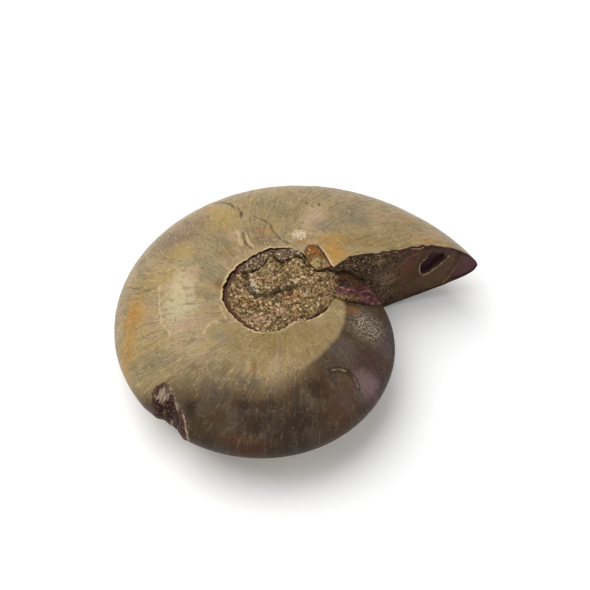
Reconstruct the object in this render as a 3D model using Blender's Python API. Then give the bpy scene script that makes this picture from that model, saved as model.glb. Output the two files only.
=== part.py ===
"""Ammonite fossil lying on its flank: one coiled shell, long since turned to stone in one piece.

The keel of the coil follows a logarithmic spiral about an upright axis. The flanks swell up
from the keel to a shoulder round the navel, and the navel is filled with rock a little below
that shoulder. The last part of the coil is broken off: its torn end stands over the earlier
whorl, and a ledge of rock slopes down from it onto that whorl.

The whole surface is one loft of unlike sections. A section runs from the middle of the upper
navel, out over the near flank, round the keel, back along the far flank and in to the middle
of the lower navel. A position on it is given by two numbers:
  turn      degrees of coil, counted back from the broken end;
  outwards  0 at the rim of the navel, 1 at the keel.
"""

import bmesh
import bpy
import numpy as np

MM = 0.001

# The coil.
TIP_RADIUS = 55.0 * MM  # axis to keel at the broken end
GROWTH_PER_TURN = 2.03  # the radius grows by this factor in one turn
TIP_ANGLE = 23.6  # degrees round from +X, the keel at the broken end
BREAK_INNER_ANGLE = 40.0  # degrees, where the break line meets the navel
COIL_TURN = 372.4  # degrees of coil from the broken end back to where it dives under it

# The thickness, measured from the plane of the keel to each shoulder.
NEAR_HEIGHT = 13.2 * MM
NEAR_HEIGHT_AT_BREAK = 12.2 * MM
FAR_HEIGHT = 13.0 * MM
EARLY_HEIGHT = 9.0 * MM  # the earlier whorl beside the break, which is thinner
LEDGE_HEIGHT = 11.4 * MM  # the rock left on it, against the break
LEDGE_LIP = 1.5 * MM  # the step down from that rock onto the whorl
LEDGE_ROUGHNESS = 0.45 * MM
FAR_STEP_HEIGHT = 10.8 * MM  # the earlier whorl's far flank against the break
SHOULDER = 0.40  # radius of the shoulder as a share of the keel's
SHOULDER_DIP = 0.5 * MM  # how far the flank sinks again from the shoulder to the navel
FLANK_ROUNDNESS = 1.7  # 1 is a parabola and 2 an ellipse

# The navels: (degrees round, distance from the axis) along each rim.
NEAR_NAVEL_RIM = (
    (0, 11.0), (20, 14.6), (40, 17.6), (56, 15.6), (76, 17.4), (99, 16.8), (115, 15.4),
    (140, 14.6), (166, 13.6), (180, 12.9), (197, 11.3), (214, 10.3), (235, 9.6), (254, 8.7),
    (275, 7.8), (300, 6.4), (323, 6.0), (345, 8.4),
)
NEAR_NAVEL_MIDDLE = (-0.3 * MM, 4.5 * MM)
FAR_NAVEL_RIM = ((0, 12.4), (60, 15.6), (110, 15.0), (170, 12.6), (230, 10.0), (290, 8.6), (330, 10.0))
FAR_NAVEL_MIDDLE = (0.8 * MM, 2.6 * MM)
# The rock in the upper navel: (degrees round, height of its edge above the keel's plane).
NEAR_FILL_EDGE = ((0, 8.0), (40, 9.4), (76, 11.8), (120, 12.0), (220, 11.9), (262, 11.4), (300, 9.8), (335, 8.1))
FAR_FILL_EDGE = 11.6 * MM
FILL_MIDDLE = 10.9 * MM
FILL_GAP = 0.5 * MM  # the rim's wall leans in by this much
LUMP = 0.45 * MM  # the rock's largest lumps

# The broken end: radii are from the axis, heights are from the keel's plane.
# (distance from the axis, degrees by which the break strays from an even lean) along it.
BREAK_BEND = ((18, 0), (23, 1.8), (29, -2.4), (35, -2.7), (42, -0.8), (50, 0), (55, -0.4))
TIP_FLARE = 0.8 * MM  # how far the keel swells outwards over the last degrees of coil
TORN_ROUGHNESS = 0.5 * MM
WALL_RIDGE = 0.8 * MM  # the old chamber wall, standing out of the rock
WALL_INSET = 4.2 * MM  # its distance in from the outline of the whorl
WALL_WIDTH = 0.9 * MM
CHAMBER_RADIUS = 42.6 * MM  # the middle of a small open chamber near the keel
CHAMBER_HEIGHT = 2.6 * MM
CHAMBER_SIZE = 2.8 * MM
CHAMBER_DEPTH = 1.6 * MM

# The chip knocked out of the keel at the lower left.
CHIP_ANGLE = 222.5
CHIP_HALF_ANGLE = 10.5
CHIP_REACH = 7.0 * MM  # from the keel in over the near flank
CHIP_DEPTH = 2.8 * MM

# Mesh density.
COIL_COLUMNS = 100
BREAK_COLUMNS = 6
FLANK_ROWS = 13
FILL_ROWS = 9

NODE = "ammonite"


def smooth_step(start, end, value):
    """0 before start, 1 after end and a soft S between them."""
    share = np.clip((value - start) / (end - start), 0.0, 1.0)
    return share * share * (3.0 - 2.0 * share)


def around(stations, degrees):
    """A closed run through (degrees, millimetres) stations, softened over 12 degrees, in metres."""
    angles, values = np.array(stations, dtype=float).T
    offsets = np.linspace(-6.0, 6.0, 7)
    runs = [np.interp(degrees + offset, angles, values, period=360.0) for offset in offsets]
    return np.mean(runs, axis=0) * MM


def keel_radius(turn):
    """Logarithmic spiral: the radius shrinks by the growth factor in each turn back."""
    flare = TIP_FLARE * (1.0 - smooth_step(0.0, 26.0, turn))
    return TIP_RADIUS * GROWTH_PER_TURN ** (-turn / 360.0) + flare


def near_height(turn):
    """Shoulder height over the near flank: full, then thin beside the break, then the ledge."""
    full = NEAR_HEIGHT_AT_BREAK + (NEAR_HEIGHT - NEAR_HEIGHT_AT_BREAK) * smooth_step(0, 70, turn)
    thin = (NEAR_HEIGHT - EARLY_HEIGHT) * smooth_step(262, 338, turn)
    lip = LEDGE_LIP * smooth_step(343.0, 346.0, turn)
    slope = (LEDGE_HEIGHT - EARLY_HEIGHT - LEDGE_LIP) * smooth_step(346.0, COIL_TURN, turn)
    return full - thin + lip + slope


def far_height(turn):
    """Shoulder height over the far flank, level so that the fossil rests on it."""
    thin = (FAR_HEIGHT - EARLY_HEIGHT) * smooth_step(262, 338, turn)
    step = (FAR_STEP_HEIGHT - EARLY_HEIGHT) * smooth_step(344, COIL_TURN, turn)
    return FAR_HEIGHT - thin + step


def flank_rise(radius, keel):
    """Share of the shoulder height at a radius: a rounded fall from the shoulder to the keel."""
    shoulder = SHOULDER * keel
    share = np.clip((radius - shoulder) / (keel - shoulder), 0.0, 1.0)
    return (1.0 - share**2) ** (1.0 / FLANK_ROUNDNESS)


def shoulder_dip(radius, keel):
    """How far the flank has sunk inside its shoulder, growing with the square of the distance."""
    inside = np.clip((SHOULDER * keel - radius) / (0.12 * keel), 0.0, 1.2)
    return SHOULDER_DIP * inside**2


def lumps(x, y, size):
    """Uneven rock: three crossed waves of unlike lengths, from -1 to 1."""
    wave = np.sin(x / size + 1.3 * np.sin(y / size * 0.7))
    wave = wave + np.sin(y / size * 1.3 + 0.9 * np.sin(x / size * 1.1) + 2.0)
    return (wave + np.sin((x + y) / size * 1.9 + 0.5)) / 3.0


def place(radius, degrees, height):
    """Points from a radius, an angle and a height above the keel's plane."""
    angle = np.radians(degrees)
    return np.stack([radius * np.cos(angle), radius * np.sin(angle), height], axis=-1)


def break_bend(radius, height):
    """Degrees by which the break strays from an even lean: on the near side, and at the tip."""
    radii, bends = np.array(BREAK_BEND).T
    near_side = smooth_step(0.0, 9.0 * MM, height)
    tip = smooth_step(46.0 * MM, 52.0 * MM, radius)
    return np.interp(radius / MM, radii, bends) * np.maximum(near_side, tip)


def coil_angles(turn):
    """Directions of a section's two ends: at the rim of the navel and at the keel."""
    rim = BREAK_INNER_ANGLE + 360.0 * turn / COIL_TURN
    keel = TIP_ANGLE + turn
    return rim, keel


def flank_points(turn, outwards, rim_stations, height_of, side):
    """One row of a flank: it leans forward from the navel to the keel, as growth lines do."""
    rim_angle, keel_angle = coil_angles(turn)
    keel = keel_radius(turn)
    rim = around(rim_stations, rim_angle)
    radius = rim + (keel - rim) * outwards
    beside_break = 1.0 - smooth_step(0.0, 30.0, turn) + smooth_step(350.0, COIL_TURN, turn)
    height = side * (height_of(turn) * flank_rise(radius, keel) - shoulder_dip(radius, keel))
    degrees = keel_angle + (rim_angle - keel_angle) * (1.0 - outwards)
    degrees = degrees + break_bend(radius, height) * beside_break
    return place(radius, degrees, height)


def ledge_points(turn, outwards):
    """One row of the near flank, roughened where the ledge of broken rock covers it."""
    points = flank_points(turn, outwards, NEAR_NAVEL_RIM, near_height, 1)
    on_ledge = smooth_step(343.0, 347.0, turn) * (1.0 - outwards**4)
    points[:, 2] += LEDGE_ROUGHNESS * lumps(points[:, 0], points[:, 1], 1.1 * MM) * on_ledge
    return points


def fill_points(turn, share, rim_stations, middle, edge_height, side):
    """One row of the rock in a navel, from its middle (share 0) to its edge (share 1)."""
    rim_angle, _ = coil_angles(turn)
    edge = place(around(rim_stations, rim_angle) - FILL_GAP, rim_angle, 0.0 * turn)
    middle_point = np.array([middle[0], middle[1], 0.0])
    points = middle_point + (edge - middle_point) * share
    level = FILL_MIDDLE + (edge_height - FILL_MIDDLE) * share**2
    rough = LUMP * lumps(points[:, 0], points[:, 1], 2.0 * MM) * (1.0 - share**8)
    points[:, 2] = side * (level + rough)
    return points


def chip_away(points):
    """Sink the keel and the near flank where a flake was knocked off: a shell-shaped hollow."""
    radius = np.hypot(points[..., 0], points[..., 1])
    degrees = np.degrees(np.arctan2(points[..., 1], points[..., 0])) % 360.0
    keel = keel_radius((degrees - TIP_ANGLE) % 360.0)
    along = (degrees - CHIP_ANGLE) / CHIP_HALF_ANGLE
    inward = (keel - radius) / CHIP_REACH
    upper = smooth_step(-9.0 * MM, -4.0 * MM, points[..., 2])
    hollow = CHIP_DEPTH * (1.0 - smooth_step(0.45, 1.0, np.hypot(along, inward))) * upper
    shrink = np.where(radius > 0.5 * keel, hollow, 0.0)
    sunk = points.copy()
    sunk[..., 0] -= shrink * np.cos(np.radians(degrees)) * 0.75
    sunk[..., 1] -= shrink * np.sin(np.radians(degrees)) * 0.75
    sunk[..., 2] -= shrink * 0.6
    return sunk


def section_rows(turn):
    """The coil's surface as an array of rows by columns of points, upper middle to lower middle."""
    fill_shares = np.linspace(0.0, 1.0, FILL_ROWS)
    outwards = np.sin(np.linspace(0.0, np.pi / 2.0, FLANK_ROWS))
    near_edge = around(NEAR_FILL_EDGE, coil_angles(turn)[0])
    near_fill = (NEAR_NAVEL_RIM, NEAR_NAVEL_MIDDLE, near_edge, 1)
    far_fill = (FAR_NAVEL_RIM, FAR_NAVEL_MIDDLE, FAR_FILL_EDGE, -1)
    rows = [fill_points(turn, share, *near_fill) for share in fill_shares]
    rows += [ledge_points(turn, out) for out in outwards]
    rows += [flank_points(turn, out, FAR_NAVEL_RIM, far_height, -1) for out in outwards[-2::-1]]
    rows += [fill_points(turn, share, *far_fill) for share in fill_shares[::-1]]
    return chip_away(np.array(rows))


def torn_relief(radius, height, inset):
    """How far the torn face stands out: uneven rock, the ridge of a chamber wall and a hollow."""
    rock = TORN_ROUGHNESS * lumps(radius, height, 1.6 * MM)
    ridge = WALL_RIDGE * np.exp(-(((inset - WALL_INSET) / WALL_WIDTH) ** 2))
    from_chamber = np.hypot(radius - CHAMBER_RADIUS, height - CHAMBER_HEIGHT)
    hollow = CHAMBER_DEPTH * (1.0 - smooth_step(0.4, 1.0, from_chamber / CHAMBER_SIZE))
    return rock + ridge - hollow


def torn_face(rows):
    """Columns across the broken end, from the earlier whorl's section out to the last one's.

    They stay on the break's upright surface, whose angle falls evenly from the navel to the
    keel, and the relief stands forward of it.
    """
    early = rows[:, -1]
    late = rows[:, 0]
    navel_radius = np.hypot(late[FILL_ROWS, 0], late[FILL_ROWS, 1])
    apart = np.linalg.norm(late - early, axis=-1)
    columns = []
    for share in np.linspace(0.0, 1.0, BREAK_COLUMNS + 2)[1:-1]:
        between = early + (late - early) * share
        radius = np.hypot(between[:, 0], between[:, 1])
        lean = (TIP_RADIUS - radius) / (TIP_RADIUS - navel_radius)
        degrees = TIP_ANGLE + (BREAK_INNER_ANGLE - TIP_ANGLE) * lean
        degrees = degrees + break_bend(radius, between[:, 2])
        on_break = place(radius, degrees, between[:, 2])
        edge_fade = smooth_step(0.0, 3.0 * MM, apart * min(share, 1.0 - share))
        relief = torn_relief(radius, between[:, 2], apart * (1.0 - share)) * edge_fade
        forward = np.radians(degrees - 90.0)
        on_break[:, 0] += relief * np.cos(forward)
        on_break[:, 1] += relief * np.sin(forward)
        columns.append(np.where(apart[:, None] > MM, on_break, between))
    return np.stack(columns, axis=1)


def surface_mesh(grid):
    """A mesh over rows by columns of points, closed round the columns and at both middles."""
    row_count, column_count, _ = grid.shape
    index = np.arange(row_count * column_count).reshape(row_count, column_count)
    following = np.roll(index, -1, axis=1)
    quads = np.stack([index[:-1], index[1:], following[1:], following[:-1]], axis=-1)
    mesh = bpy.data.meshes.new(NODE)
    mesh.from_pydata(grid.reshape(-1, 3).tolist(), [], quads.reshape(-1, 4).tolist())
    shape = bmesh.new()
    shape.from_mesh(mesh)
    bmesh.ops.remove_doubles(shape, verts=shape.verts, dist=0.00002)
    bmesh.ops.dissolve_degenerate(shape, edges=shape.edges, dist=0.00001)
    bmesh.ops.triangulate(shape, faces=shape.faces)
    bmesh.ops.recalc_face_normals(shape, faces=shape.faces)
    shape.to_mesh(mesh)
    shape.free()
    mesh.shade_smooth()
    mesh.set_sharp_from_angle(angle=np.radians(35.0))
    return mesh


def stone_material():
    material = bpy.data.materials.new("polished_shell_stone")
    material.use_nodes = True
    shader = material.node_tree.nodes["Principled BSDF"]
    shader.inputs["Base Color"].default_value = (0.30, 0.23, 0.12, 1.0)
    shader.inputs["Roughness"].default_value = 0.35
    shader.inputs["Metallic"].default_value = 0.0
    return material


def rest_on_floor(grid):
    """Move the points so that the fossil rests on z = 0 and its box is centred on the origin."""
    low = grid.min(axis=(0, 1))
    high = grid.max(axis=(0, 1))
    return grid - np.array([(low[0] + high[0]) / 2.0, (low[1] + high[1]) / 2.0, low[2]])


def main():
    for old in list(bpy.data.objects):
        bpy.data.objects.remove(old, do_unlink=True)
    collection = bpy.data.collections.new("ammonite_fossil")
    bpy.context.scene.collection.children.link(collection)
    coil = section_rows(np.linspace(0.0, COIL_TURN, COIL_COLUMNS))
    grid = rest_on_floor(np.concatenate([coil, torn_face(coil)], axis=1))
    mesh = surface_mesh(grid)
    mesh.materials.append(stone_material())
    fossil = bpy.data.objects.new(NODE, mesh)
    collection.objects.link(fossil)


main()
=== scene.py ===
# %% [markdown]
# # An ammonite fossil
# An ammonite was a sea animal that lived in a coiled shell. The shell filled with mud and
# turned to stone as one piece, and its flanks were polished later, until the layers of the
# shell showed. It lies on its flank here, with the axis of the coil upright.
#
# The solid model gives the fossil's true size and its main forms. This lesson works the same
# forms out again from the same rules, on much finer grids, so that they can carry the grain of
# the rock in the navel, the walls in the torn end and the flaked chip. Then each surface gets
# its own finish, and the last cells set the light and the camera.

# %% Load the solid model as a fixed frame
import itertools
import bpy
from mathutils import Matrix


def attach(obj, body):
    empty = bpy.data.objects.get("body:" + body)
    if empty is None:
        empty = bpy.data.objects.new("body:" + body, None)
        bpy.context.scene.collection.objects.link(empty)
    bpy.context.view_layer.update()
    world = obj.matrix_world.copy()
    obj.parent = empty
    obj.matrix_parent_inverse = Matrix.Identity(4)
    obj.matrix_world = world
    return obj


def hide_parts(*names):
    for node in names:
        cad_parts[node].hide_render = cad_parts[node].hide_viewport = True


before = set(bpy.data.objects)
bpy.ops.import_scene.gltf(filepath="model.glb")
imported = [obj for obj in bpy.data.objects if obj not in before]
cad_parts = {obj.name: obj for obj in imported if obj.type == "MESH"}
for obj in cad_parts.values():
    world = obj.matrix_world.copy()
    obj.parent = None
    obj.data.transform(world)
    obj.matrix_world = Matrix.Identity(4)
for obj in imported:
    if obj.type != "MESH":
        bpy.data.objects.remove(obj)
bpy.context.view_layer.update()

# %% Tools for numbers, meshes and files
from types import SimpleNamespace

import bmesh
import bpy
import mathutils
import numpy as np

MM = 0.001  # Blender works in metres; every length below is in millimetres
IN_PLAN, UP = np.array([1.0, 1.0, 0.0]), np.array([0.0, 0.0, 1.0])  # IN_PLAN takes a point's height away

# %% [markdown]
# ## The rule of the coil
# A shell grows by adding to its open end, always in the same proportion. So its keel, the
# outermost edge, is a logarithmic spiral: each turn multiplies the radius by the same factor.
# A place on a flank is given by two numbers. `turn` is the degrees of coil, counted back from
# the broken end, and `outwards` runs from 0 at the rim of the navel to 1 at the keel.

# %% Measures of the coil
TIP_RADIUS = 55.0  # axis to keel at the broken end
TIP_FLARE = 0.8  # the keel strays outwards by this much at the tip
GROWTH_PER_TURN = 2.03
TIP_ANGLE, BREAK_INNER_ANGLE = 23.6, 40.0  # where the break's two ends lie, in degrees round the axis
COIL_TURN = 372.4  # degrees of coil from the broken end back to where the break crosses it again
RIM_CHIPS = 0.10
NEAR_HEIGHT, NEAR_HEIGHT_AT_BREAK, FAR_HEIGHT = 13.2, 12.2, 13.0
EARLY_HEIGHT, LEDGE_HEIGHT, LEDGE_LIP, FAR_STEP_HEIGHT = 9.0, 11.4, 1.5, 10.8
SHOULDER, SHOULDER_DIP, FLANK_ROUNDNESS = 0.40, 0.5, 1.7
# (degrees round, distance from the axis) along the rim of each navel.
NEAR_NAVEL_RIM = (
    (0, 11.0), (20, 14.6), (40, 17.6), (56, 15.6), (76, 17.4), (99, 16.8), (115, 15.4),
    (140, 14.6), (166, 13.6), (180, 12.9), (197, 11.3), (214, 10.3), (235, 9.6), (254, 8.7),
    (275, 7.8), (300, 6.4), (323, 6.0), (345, 8.4),
)
FAR_NAVEL_RIM = ((0, 12.4), (60, 15.6), (110, 15.0), (170, 12.6), (230, 10.0), (290, 8.6), (330, 10.0))
# (distance from the axis, degrees by which the break strays from an even lean).
BREAK_BEND = ((18, 0), (23, 1.8), (29, -2.4), (35, -2.7), (42, -0.8), (50, 0), (55, -0.4))


# %% The coil as functions
def smooth_step(start, end, value):
    """0 before start, 1 after end and a soft S between them."""
    share = np.clip((value - start) / (end - start), 0.0, 1.0)
    return share * share * (3.0 - 2.0 * share)


def around(stations, degrees):
    """A closed run through (degrees, value) stations, softened over 12 degrees."""
    angles, values = np.array(stations, dtype=float).T
    offsets = np.linspace(-6.0, 6.0, 7)
    return np.mean([np.interp(degrees + step, angles, values, period=360.0) for step in offsets], axis=0)


def keel_radius(turn):
    """Logarithmic spiral: the radius shrinks by the growth factor in each turn back."""
    flare = TIP_FLARE * (1.0 - smooth_step(0.0, 26.0, turn))
    return TIP_RADIUS * GROWTH_PER_TURN ** (-turn / 360.0) + flare


def near_height(turn):
    """Shoulder height over the near flank: full for most of the coil, thin beside the break."""
    full = NEAR_HEIGHT_AT_BREAK + (NEAR_HEIGHT - NEAR_HEIGHT_AT_BREAK) * smooth_step(0, 70, turn)
    return full - (NEAR_HEIGHT - EARLY_HEIGHT) * smooth_step(262, 338, turn)


def far_height(turn):
    """Shoulder height over the far flank, which the fossil rests on."""
    thin = (FAR_HEIGHT - EARLY_HEIGHT) * smooth_step(262, 338, turn)
    return FAR_HEIGHT - thin + (FAR_STEP_HEIGHT - EARLY_HEIGHT) * smooth_step(344, COIL_TURN, turn)


def break_bend(radius, height):
    """Degrees by which the break strays from an even lean: on the near side, and at the tip.
    Unlike waves make its near edge jagged."""
    radii, bends = np.array(BREAK_BEND).T
    near_side = smooth_step(0.0, 9.0, height)
    tip = smooth_step(46.0, 52.0, radius)
    jag = 0.28 * np.sin(1.7 * radius + 1.5 * np.sin(0.6 * radius))
    jag += 0.13 * np.sin(3.7 * radius + 2.0 * np.sin(1.3 * radius)) + 0.07 * np.sin(9.1 * radius)
    jag = jag * near_side * (1.0 - tip) * smooth_step(18.0, 22.0, radius)
    return np.interp(radius, radii, bends) * np.maximum(near_side, tip) + jag


def place(radius, degrees, height):
    """Points from a distance, an angle and a height above the keel's plane."""
    angle = np.radians(degrees)
    return np.stack([radius * np.cos(angle), radius * np.sin(angle), height], axis=-1)


def rim_radius(stations, degrees):
    """The rim's stations, with small chips along it from three unlike waves."""
    angle = np.radians(degrees)
    waves = np.sin(23 * angle) + 0.8 * np.sin(41 * angle + 1.0) + 0.6 * np.sin(67 * angle + 2.0)
    return around(stations, degrees) + RIM_CHIPS * waves


def flank(turn, outwards, height_of, side):
    """A flank: the rim and the keel joined by lines that lean forward as growth lines do. The
    height falls from the shoulder to the keel as one minus a square, rounded by a power, and
    dips a little inside the shoulder."""
    stations = NEAR_NAVEL_RIM if side > 0 else FAR_NAVEL_RIM
    rim_angle = BREAK_INNER_ANGLE + 360.0 * turn / COIL_TURN
    keel = keel_radius(turn)
    rim = rim_radius(stations, rim_angle)
    radius = rim + (keel - rim) * outwards
    shoulder = SHOULDER * keel
    share = np.clip((radius - shoulder) / (keel - shoulder), 0.0, 1.0)
    inside = np.clip((shoulder - radius) / (0.12 * keel), 0.0, 1.2)
    rise = (1.0 - share**2) ** (1.0 / FLANK_ROUNDNESS)
    height = side * (height_of(turn) * rise - SHOULDER_DIP * inside**2)
    degrees = (TIP_ANGLE + turn) + (rim_angle - TIP_ANGLE - turn) * (1.0 - outwards)
    beside_break = 1.0 - smooth_step(0.0, 30.0, turn) + smooth_step(350.0, COIL_TURN, turn)
    return place(radius, degrees + break_bend(radius, height) * beside_break, height)


# %% [markdown]
# The frame's origin is under the middle of the fossil's footprint, but every rule above starts
# from the axis of the coil, in the plane of the keel. The keel's own outline in plan gives the
# step from one to the other.

# %% From the coil's axis to the frame's origin
keel_line = flank(np.linspace(0.0, COIL_TURN, 4000), 1.0, near_height, 1)
AXIS = np.append(-(keel_line.min(axis=0) + keel_line.max(axis=0))[:2] / 2.0, FAR_HEIGHT)
print("the coil's axis stands at", np.round(AXIS, 2), "mm")

# %% [markdown]
# ## Rock that is never quite even
# Stone needs unevenness at many sizes. Two functions give it. `noise` fixes a random number at
# each corner of a lattice and blends between the corners. `grains` scatters one point in each
# lattice cell and measures how close a place is to the nearest one, which makes packed grains.


# %% Noise for shapes
def scatter(cells, seed):
    """A fixed number from 0 to 1 for each whole-number cell: the fraction of a large sine."""
    mixed = cells @ np.array([127.1, 311.7, 74.7]) + 19.19 * seed
    return np.abs(np.sin(mixed) * 43758.5453) % 1.0


def noise(points, size, seed=0):
    """Smooth noise from -1 to 1: random lattice corners, blended by eased weights."""
    scaled = np.asarray(points) / size
    cell = np.floor(scaled)
    ease = scaled - cell
    ease = ease * ease * (3.0 - 2.0 * ease)
    total = 0.0
    for corner in itertools.product((0, 1), repeat=3):
        weights = np.where(np.array(corner) == 1, ease, 1.0 - ease)
        total = total + weights.prod(axis=-1) * scatter(cell + corner, seed)
    return 2.0 * total - 1.0


def rough(points, size, octaves=4, seed=0):
    """Noise with finer and finer noise on it, each half the size and half the strength."""
    return sum(noise(points, size / 2**k, seed + k) / 2**k for k in range(octaves))


def grains(points, size, seed=0):
    """(closeness, lot): 1 at a grain's middle falling to 0 between grains, and each grain's
    own random number."""
    scaled = np.asarray(points) / size
    cell = np.floor(scaled)
    nearest = np.full(scaled.shape[:-1], 9.0)
    lot = np.zeros(scaled.shape[:-1])
    for step in itertools.product((-1, 0, 1), repeat=3):
        other = cell + step
        middle = other + np.stack([scatter(other, seed + k) for k in (1, 2, 3)], axis=-1)
        distance = np.linalg.norm(scaled - middle, axis=-1)
        lot = np.where(distance < nearest, scatter(other, seed + 4), lot)
        nearest = np.minimum(nearest, distance)
    return np.clip(1.0 - nearest, 0.0, 1.0), lot


# %% Distances from drawn lines
def distance_to(path, x, y):
    """Shortest distance in plan from each place to a path of straight stretches."""
    here = np.stack([x, y], axis=-1)
    corners = np.array(path, dtype=float)
    best = np.full(x.shape, 1e9)
    for start, end in zip(corners[:-1], corners[1:]):
        run = end - start
        share = np.clip(((here - start) @ run) / (run @ run), 0.0, 1.0)
        best = np.minimum(best, np.linalg.norm(here - start - share[..., None] * run, axis=-1))
    return best


def depth_inside(outline, x, y):
    """Distance from a closed outline, positive inside it and negative outside: a place is
    inside where a ray from it crosses the outline an odd number of times."""
    corners = list(outline)
    inside = np.zeros(x.shape, dtype=bool)
    for (start_x, start_y), (end_x, end_y) in zip(corners, corners[1:] + corners[:1]):
        spans = (start_y > y) != (end_y > y)
        slope = (end_x - start_x) / ((end_y - start_y) or 1.0)
        inside ^= spans & (x < start_x + slope * (y - start_y))
    return np.where(inside, 1.0, -1.0) * distance_to(corners + corners[:1], x, y)


def bell(distance, width):
    """1 at no distance, falling away over the width: e to minus the square of their ratio."""
    return np.exp(-((distance / width) ** 2))


# %% [markdown]
# ## From grids to closed pieces
# Each piece is a front surface worked out on a grid, and a hidden back, joined round the edge.
# So it is a closed solid, as a piece of rock is, and no view of it finds a hollow.


# %% Grid helpers
def unit(vectors):
    """Vectors brought to length 1: each divided by its length."""
    return vectors / np.maximum(np.linalg.norm(vectors, axis=-1, keepdims=True), 1e-9)


def normals_of(grid):
    """Unit normals of a grid of points: the cross product of its two directions."""
    return unit(np.cross(np.gradient(grid, axis=0), np.gradient(grid, axis=1)))


def quads_of(index):
    """Faces over a grid of vertex numbers."""
    return np.stack([index[:-1, :-1], index[1:, :-1], index[1:, 1:], index[:-1, 1:]], axis=-1).reshape(-1, 4)


# %% From a grid to an object
MERGE_WITHIN = 0.002 * MM


def make_piece(name, grid, values, back=None, ring=False, sharp=70.0):
    """A closed mesh object from a grid of points in millimetres from the coil's axis.

    back is the hidden surface with the same number of points; with ring set, the last column
    meets the first. values gives each point's named numbers for the finishes. An edge is sharp
    where its faces turn by more than sharp degrees.
    """
    sheets = [grid] if back is None else [grid, back]
    points = np.concatenate([sheet.reshape(-1, 3) for sheet in sheets])
    front = np.arange(grid[..., 0].size).reshape(grid.shape[:2])
    closed = np.concatenate([front, front[:, :1]], axis=1) if ring else front
    faces = [quads_of(closed)]
    if back is not None:
        behind = closed + front.size
        edges = [(closed[0], behind[0]), (behind[-1], closed[-1])]
        if not ring:
            edges += [(behind[:, 0], closed[:, 0]), (closed[:, -1], behind[:, -1])]
        faces += [quads_of(behind[::-1])] + [quads_of(np.stack(edge)) for edge in edges]
    mesh = bpy.data.meshes.new(name)
    mesh.from_pydata(((points + AXIS) * MM).tolist(), [], np.concatenate(faces).tolist())
    for label, numbers in values.items():
        numbers = np.broadcast_to(numbers, grid.shape[:2]).ravel()
        attribute = mesh.attributes.new(label, "FLOAT", "POINT")
        attribute.data.foreach_set("value", np.tile(numbers, len(sheets)).astype(np.float32))
    shape = bmesh.new()
    shape.from_mesh(mesh)
    bmesh.ops.remove_doubles(shape, verts=shape.verts, dist=MERGE_WITHIN)
    bmesh.ops.dissolve_degenerate(shape, edges=shape.edges, dist=MERGE_WITHIN / 2.0)
    bmesh.ops.recalc_face_normals(shape, faces=shape.faces)
    shape.to_mesh(mesh)
    shape.free()
    mesh.shade_smooth()
    mesh.set_sharp_from_angle(angle=np.radians(sharp))
    piece = bpy.data.objects.new(name, mesh)
    bpy.context.scene.collection.objects.link(piece)
    mesh.calc_loop_triangles()
    print(name, len(mesh.loop_triangles), "triangles")
    return piece


# %% [markdown]
# ## The shell
# The shell is a tube whose section is closed: out over the near flank, round the keel, back
# along the far flank, and straight up again behind the rock of the two navels. Where the coil
# is broken its end is set back a little, and the torn rock fills that recess. A flake has
# chipped off the keel at the lower left. Lobed lines, the sutures, show where the walls of old
# chambers met the shell, and beside the navel one chamber is open.

# %% Marks on the near flank, in plan
CHIP_ANGLE, CHIP_HALF_ANGLE, CHIP_REACH, CHIP_DEPTH = 222.5, 10.5, 7.0, 2.8
CHIP_OUTLINE = (
    (-29.3, -21.4), (-29.0, -20.3), (-27.9, -19.5), (-26.2, -19.4), (-24.1, -20.6), (-22.9, -24.0),
    (-21.1, -27.2), (-20.2, -31.5), (-24.0, -40.0), (-40.0, -36.0), (-30.4, -24.8), (-28.9, -23.0),
)
CHIP_RIDGE = ((-24.7, -20.4), (-24.0, -21.0), (-22.9, -24.0), (-21.2, -27.0), (-20.5, -30.2))
WINDOW = (
    (6.3, 16.7), (6.6, 14.7), (7.2, 12.8), (9.0, 10.9), (9.6, 10.5), (13.6, 11.6), (12.9, 12.3),
    (12.3, 14.0), (11.5, 15.8), (10.2, 18.0), (8.7, 18.7), (7.3, 18.3),
)
WINDOW_WALL = ((10.3, 17.9), (11.6, 15.9), (12.5, 14.0), (13.1, 12.5), (13.9, 11.5))
SUTURE = (
    (-16.6, 37.6), (-14.8, 36.5), (-12.7, 34.9), (-11.6, 32.6), (-10.6, 32.0), (-9.6, 29.9), (-9.4, 27.6),
)
ARC_SUTURE = ((-6.4, 28.2), (-4.4, 26.8), (-2.2, 24.9), (-1.2, 22.1), (0.7, 19.6), (3.0, 18.3))
PALE_RIDGES = (((-10.2, 22.2), (-9.7, 20.1), (-9.1, 17.6)), ((-8.0, 20.7), (-7.3, 18.8), (-6.3, 17.3)))
RIDGE_GROOVE = ((-8.8, 21.8), (-7.9, 18.0), (-6.5, 16.6))
PALE_THREADS = (
    ((-28.7, 6.4), (-28.2, -0.9), (-27.3, -4.8), (-25.3, -8.1), (-24.1, -10.8)),
    ((-17.3, -9.3), (-16.6, -8.0), (-16.1, -6.9), (-15.2, -6.0), (-14.2, -5.8)),
    ((-13.6, -0.6), (-12.8, -3.2), (-11.7, -5.8), (-10.8, -5.9), (-9.9, -5.4)),
)
CRESCENT = ((12.3, -18.1), (14.2, -17.4), (16.3, -17.4), (17.8, -18.5), (18.6, -19.9))
# Lines that also show in the relief: their paths, how far they rise (or fall) and their width.
RELIEF_LINES = {
    "suture": ((SUTURE,), -0.10, 0.35),
    "arc_suture": ((ARC_SUTURE,), -0.10, 0.30),
    "ridge_groove": ((RIDGE_GROOVE,), -0.18, 0.35),
    "pale_ridge": (PALE_RIDGES, 0.14, 0.55),
    "pale_thread": (PALE_THREADS, 0.06, 0.30),
}


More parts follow.
